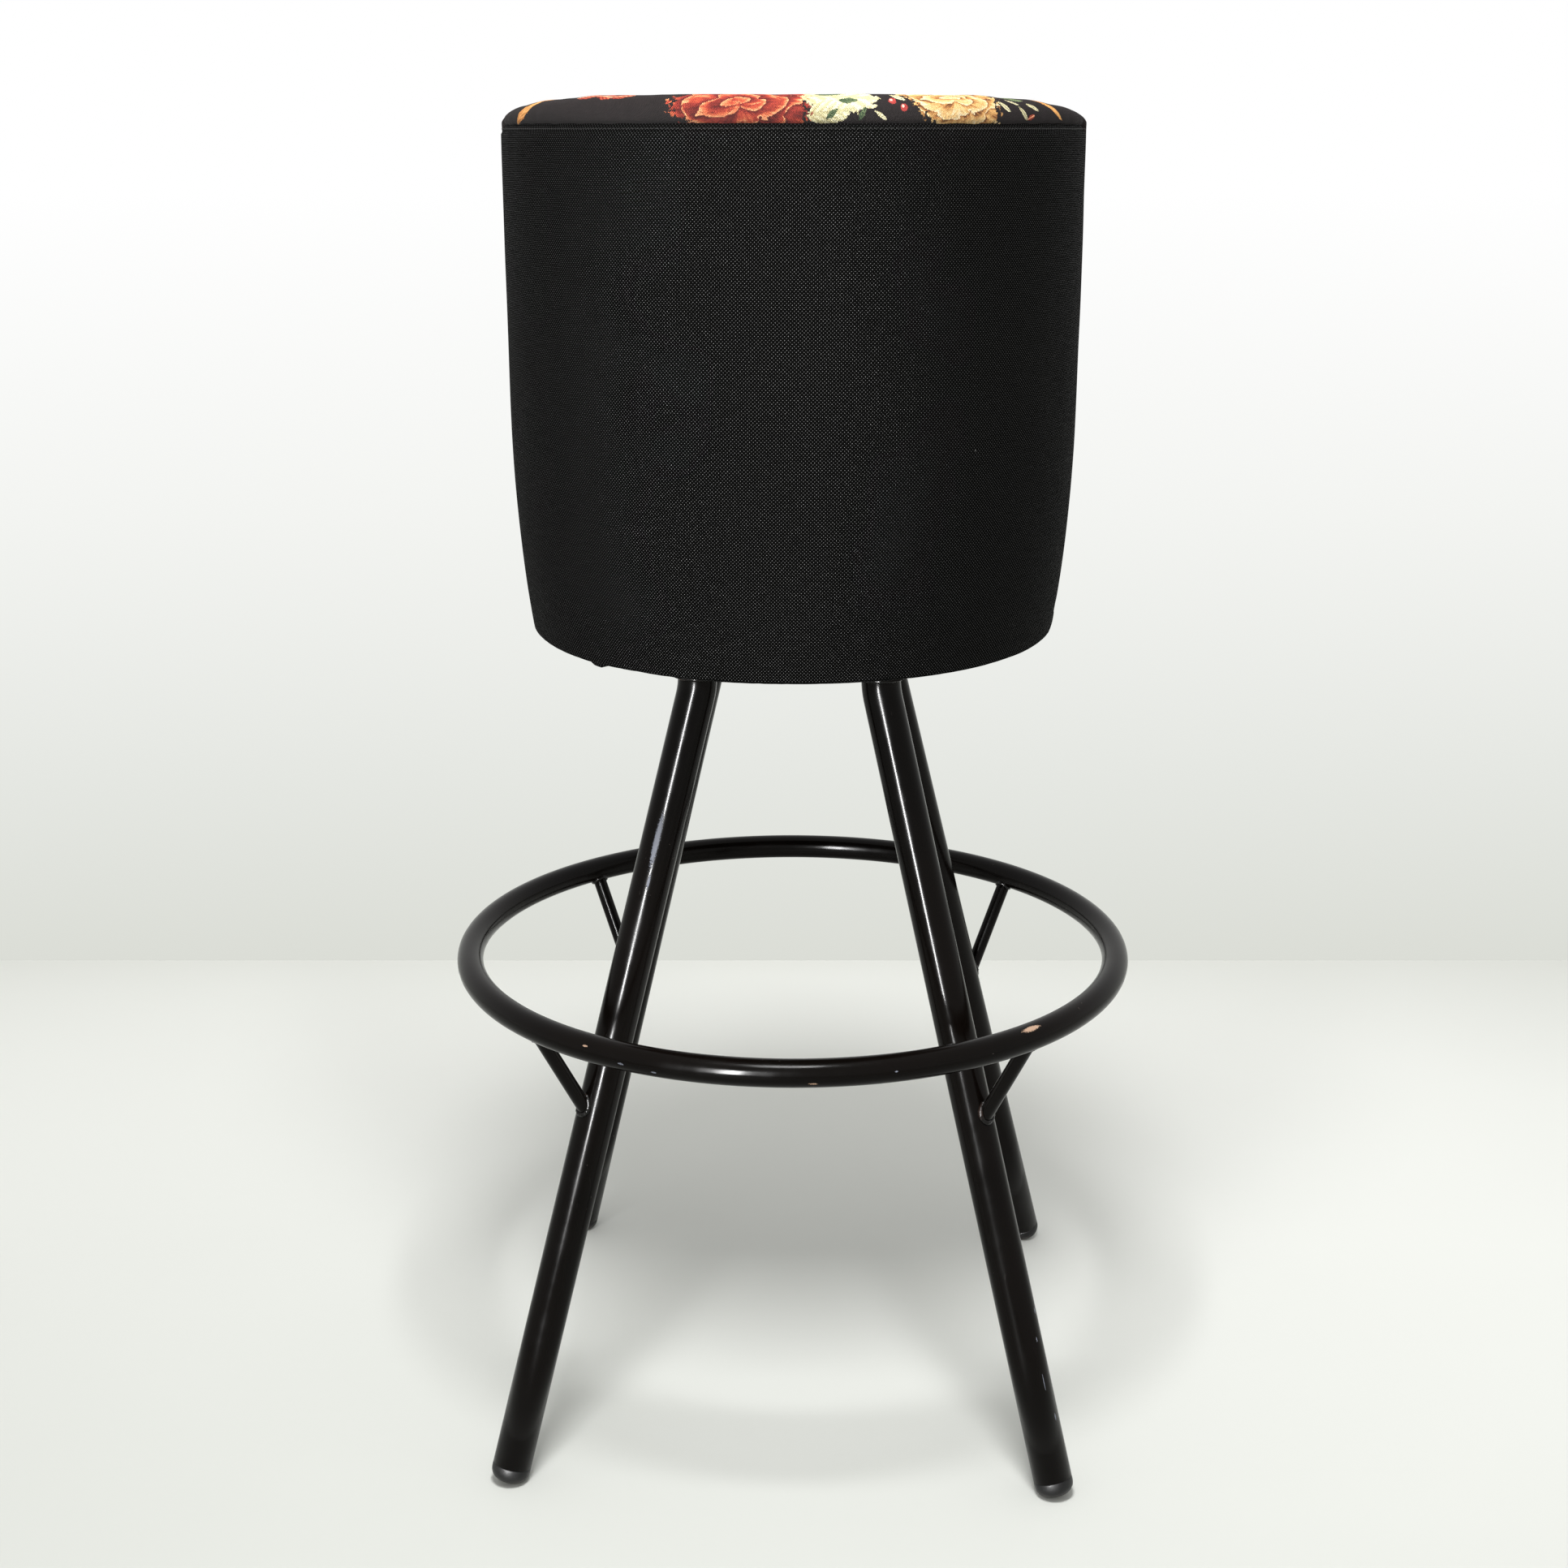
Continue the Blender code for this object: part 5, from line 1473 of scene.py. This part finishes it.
def make_staples(steel):
    """Staple crowns pressed into the underside: wires with their ends turned up."""
    bm = bmesh.new()
    for place, along in staple_places():
        path = []
        for step in range(9):
            share = step / 8
            lift = 0.0012 * (abs(2 * share - 1) ** 6)
            path.append(place + along * (STAPLE_WIDTH * (share - 0.5)) + Vector((0, 0, lift)))
        wire = sweep_mesh("wire", path, STAPLE_WIRE, 8, (0, 0, 1), caps=True)
        bm.from_mesh(wire)
        bpy.data.meshes.remove(wire)
    mesh = bpy.data.meshes.new("cover_staples")
    bm.to_mesh(mesh)
    bm.free()
    mesh.shade_smooth()
    add_piece("cover_staples", mesh, steel, "seat")


# ----------------------------------------------------------- kept CAD pieces
CAD_FINISH = {
    "ball_cage": "brass",
    "frame_bolt": "zinc",
    "frame_nut": "zinc",
    "frame_plate": "paint",
    "lower_race": "steel",
    "seat_board": "wood",
    "seat_bolt": "zinc",
    "shell_screw": "zinc",
    "spindle_bush": "nylon",
    "spindle_washer": "zinc",
    "swivel_ball": "steel",
    "swivel_lower_plate": "plate",
    "swivel_spindle": "steel",
    "swivel_upper_plate": "plate",
    "tee_nut": "zinc",
    "upper_race": "steel",
}


def finish_cad(materials):
    """Give each CAD piece that still shows its material and soft edges."""
    for name, piece in NODES.items():
        kind = max((key for key in CAD_FINISH if name.startswith(key)), key=len, default=None)
        if kind is None:
            continue
        for slot in piece.material_slots:
            slot.link = "OBJECT"
            slot.material = materials[CAD_FINISH[kind]]
        bevel = piece.modifiers.new("soft_edge", "BEVEL")
        bevel.width = 0.0003
        bevel.segments = 2
        bevel.limit_method = "ANGLE"
        bevel.angle_limit = math.radians(35)
        bevel.harden_normals = True


# -------------------------------------------------------------- the studio
AMBIENT = 0.66  # of the pale surroundings, as light
FLOOR_NEAR = srgb(206, 208, 203)
FLOOR_FAR = srgb(247, 248, 244)
WALL_TONES = [
    (0.0, srgb(219, 221, 214)),
    (0.25, srgb(229, 231, 226)),
    (0.60, srgb(243, 244, 241)),
    (1.0, srgb(255, 255, 255)),
]
EYE = Vector((-0.0734, 1.8213, 1.0687))
EYE_TURN = (math.radians(73.74), 0.0, math.radians(182.54))
WALL_DISTANCE = 2.816  # from the camera, straight ahead along the floor
WALL_HALF_WIDTH = 5
WALL_HEIGHT = 4
FLOOR_REACH = 9.0


def plane(name, corners, material):
    """A flat backdrop that isn't part of the stool."""
    mesh = bpy.data.meshes.new(name)
    mesh.from_pydata(corners, [], [list(range(len(corners)))])
    mesh.materials.append(material)
    piece = bpy.data.objects.new(name, mesh)
    bpy.context.scene.collection.objects.link(piece)
    return piece


def make_floor():
    """The pale floor, with painted shade and light that even out how the lamps fall on it, and a painted
    glow far away that fades it into the pale surroundings.
    """
    graph = Graph("studio_floor")
    place = graph.place()
    # painted shade and light: darker round (0.3, 1.3), on the camera's side, and paler away from it, to
    # even out the lamps' falloff
    away = graph.vector("LENGTH", graph.vector("SUBTRACT", place, (0.3, 1.3, 0.0)))
    cloud = graph.times(graph.noise(place, 3.0, 2.0), 0.06)
    share = graph.math("ADD", graph.span(away, 0.8, 2.4), cloud, clamp=True)
    colour = graph.mix(share, FLOOR_NEAR, FLOOR_FAR)
    rough = graph.span(graph.noise(place, 60.0, 2.0), 0.3, 0.7, 0.6, 0.75)
    normal = graph.bump(graph.noise(place, 300.0, 2.0), 0.0001, 0.3)
    # painted light: beyond 2.4 m the floor glows, so that it fades into the pale surroundings
    painted_far_glow = graph.span(graph.vector("LENGTH", place), 2.4, 6.5, 0.0, 0.55)
    graph.set(Base_Color=colour, Roughness=rough, Normal=normal, Specular_IOR_Level=0.1)
    graph.set(Emission_Color=FLOOR_FAR, Emission_Strength=painted_far_glow)
    signs = ((-1, -1), (1, -1), (1, 1), (-1, 1))
    plane("studio_floor", [(x * FLOOR_REACH, y * FLOOR_REACH, 0) for x, y in signs], graph.material)


def make_wall():
    """The pale backdrop behind the stool. It is seen from the stool's side only."""
    ahead = Vector((-math.sin(EYE_TURN[2]), math.cos(EYE_TURN[2]), 0))
    across = Vector((-ahead.y, ahead.x, 0))
    foot = Vector((EYE.x, EYE.y, 0)) + ahead * WALL_DISTANCE
    graph = Graph("studio_wall")
    height = graph.split(graph.place())[2]
    colour = graph.ramp(height, WALL_TONES)
    path = graph.add("LightPath").outputs
    mirrored = graph.math("MAXIMUM", path["Is Glossy Ray"], path["Is Transmission Ray"])
    seen = graph.math("MAXIMUM", path["Is Camera Ray"], mirrored)
    strength = graph.blend_number(seen, AMBIENT, 1.0)
    glow = graph.link("Emission", {"Color": colour, "Strength": strength}).outputs[0]
    clear = graph.add("BsdfTransparent").outputs[0]
    behind = graph.add("NewGeometry").outputs["Backfacing"]
    mixed = graph.add("MixShader")
    for socket, value in zip(mixed.inputs, (behind, glow, clear)):
        graph.feed(socket, value)
    output = graph.tree.nodes["Material Output"]
    graph.feed(output.inputs["Surface"], mixed.outputs[0])
    graph.tree.nodes.remove(graph.shader)
    left = foot - across * WALL_HALF_WIDTH
    right = foot + across * WALL_HALF_WIDTH
    rise = Vector((0, 0, WALL_HEIGHT))
    wall = plane("studio_wall", [left, right, right + rise, left + rise], graph.material)
    if wall.data.polygons[0].normal.dot(ahead) > 0:
        wall.data.flip_normals()


def area_light(name, place, aim, size, power):
    """A white rectangular light, aimed at a point."""
    data = bpy.data.lights.new(name, "AREA")
    data.shape = "RECTANGLE"
    data.size = size[0]
    data.size_y = size[1]
    data.energy = power
    light = bpy.data.objects.new(name, data)
    light.location = place
    light.rotation_euler = (Vector(aim) - Vector(place)).to_track_quat("-Z", "Y").to_euler()
    bpy.context.scene.collection.objects.link(light)
    return light


def make_world():
    """Plain pale surroundings: white to the camera and in mirrors, dimmer as light."""
    world = bpy.data.worlds.new("studio")
    bpy.context.scene.world = world
    world.use_nodes = True
    nodes = world.node_tree.nodes
    links = world.node_tree.links
    path = nodes.new("ShaderNodeLightPath")
    mirrored = nodes.new("ShaderNodeMath")
    mirrored.operation = "MAXIMUM"
    links.new(path.outputs["Is Glossy Ray"], mirrored.inputs[0])
    links.new(path.outputs["Is Transmission Ray"], mirrored.inputs[1])
    seen = nodes.new("ShaderNodeMath")
    seen.operation = "MAXIMUM"
    links.new(path.outputs["Is Camera Ray"], seen.inputs[0])
    links.new(mirrored.outputs[0], seen.inputs[1])
    ambient = nodes.new("ShaderNodeMix")
    ambient.inputs["A"].default_value = AMBIENT
    ambient.inputs["B"].default_value = 1.0
    links.new(seen.outputs[0], ambient.inputs["Factor"])
    links.new(ambient.outputs[0], nodes["Background"].inputs["Strength"])
    nodes["Background"].inputs["Color"].default_value = (*srgb(250, 250, 247), 1.0)


def make_camera():
    """The photograph's camera, with plain colours as they are."""
    bpy.context.scene.view_settings.view_transform = "Standard"
    data = bpy.data.cameras.new("photo_camera")
    data.lens = 51.18
    data.sensor_width = 36.0
    camera = bpy.data.objects.new("photo_camera", data)
    camera.location = EYE
    camera.rotation_euler = EYE_TURN
    bpy.context.scene.collection.objects.link(camera)
    bpy.context.scene.camera = camera


# ------------------------------------------------------------------- build
def build():
    """Materials first, then the stool from the base up, then the studio."""
    paint = make_paint()
    weld = make_weld_paint()
    plastic = make_plastic()
    canvas = make_canvas()
    top_cloth = make_tapestry("tapestry_back", True)
    seat_cloth = make_tapestry("tapestry_seat", False)
    cambric = make_cambric()
    wood = make_plywood()
    thread = make_thread()
    zinc = make_metal("zinc_plate", srgb(205, 207, 204), srgb(168, 168, 160), 0.28, 0.46, 240.0)
    steel = make_metal("bearing_steel", srgb(206, 208, 212), srgb(172, 174, 180), 0.12, 0.26, 420.0,
                       stain=srgb(92, 70, 46))
    brass = make_metal("cage_brass", srgb(208, 170, 96), srgb(164, 128, 70), 0.24, 0.42, 300.0)
    plate = make_metal("swivel_plate_zinc", srgb(196, 198, 196), srgb(150, 150, 144), 0.30, 0.50, 60.0,
                       grain=(1.0, 14.0, 1.0))
    bpy.context.view_layer.update()

    make_ring(paint)
    plate_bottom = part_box("frame_plate")[0].z
    for index, corner in enumerate(CORNERS):
        foot, bend, top = make_leg(corner, index, paint)
        strut = make_strut(corner, foot, bend, paint)
        make_welds(corner, foot, bend, top, strut, weld, plate_bottom)
        make_glide(corner, foot, bend, plastic)

    make_canvas_panel(canvas)
    make_shell(wood)
    make_top_stitching(thread)
    make_back_pad(top_cloth)
    make_cushion(seat_cloth)
    make_front_skirt(seat_cloth)
    make_dust_cover(cambric)
    make_staples(zinc)
    finish_cad({"paint": paint, "zinc": zinc, "plate": plate, "steel": steel, "nylon": make_nylon(),
                "brass": brass, "wood": wood})

    make_floor()
    make_wall()
    make_world()
    make_camera()
    strip = area_light("strip", (0.60, 2.12, 0.86), (0.0, 0.0, 0.75), (0.18, 1.0), 230.0)
    strip.visible_diffuse = False
    area_light("overhead", (0.0, 0.72, 1.98), (0.0, 0.05, 0.0), (0.42, 0.42), 32.0)


build()
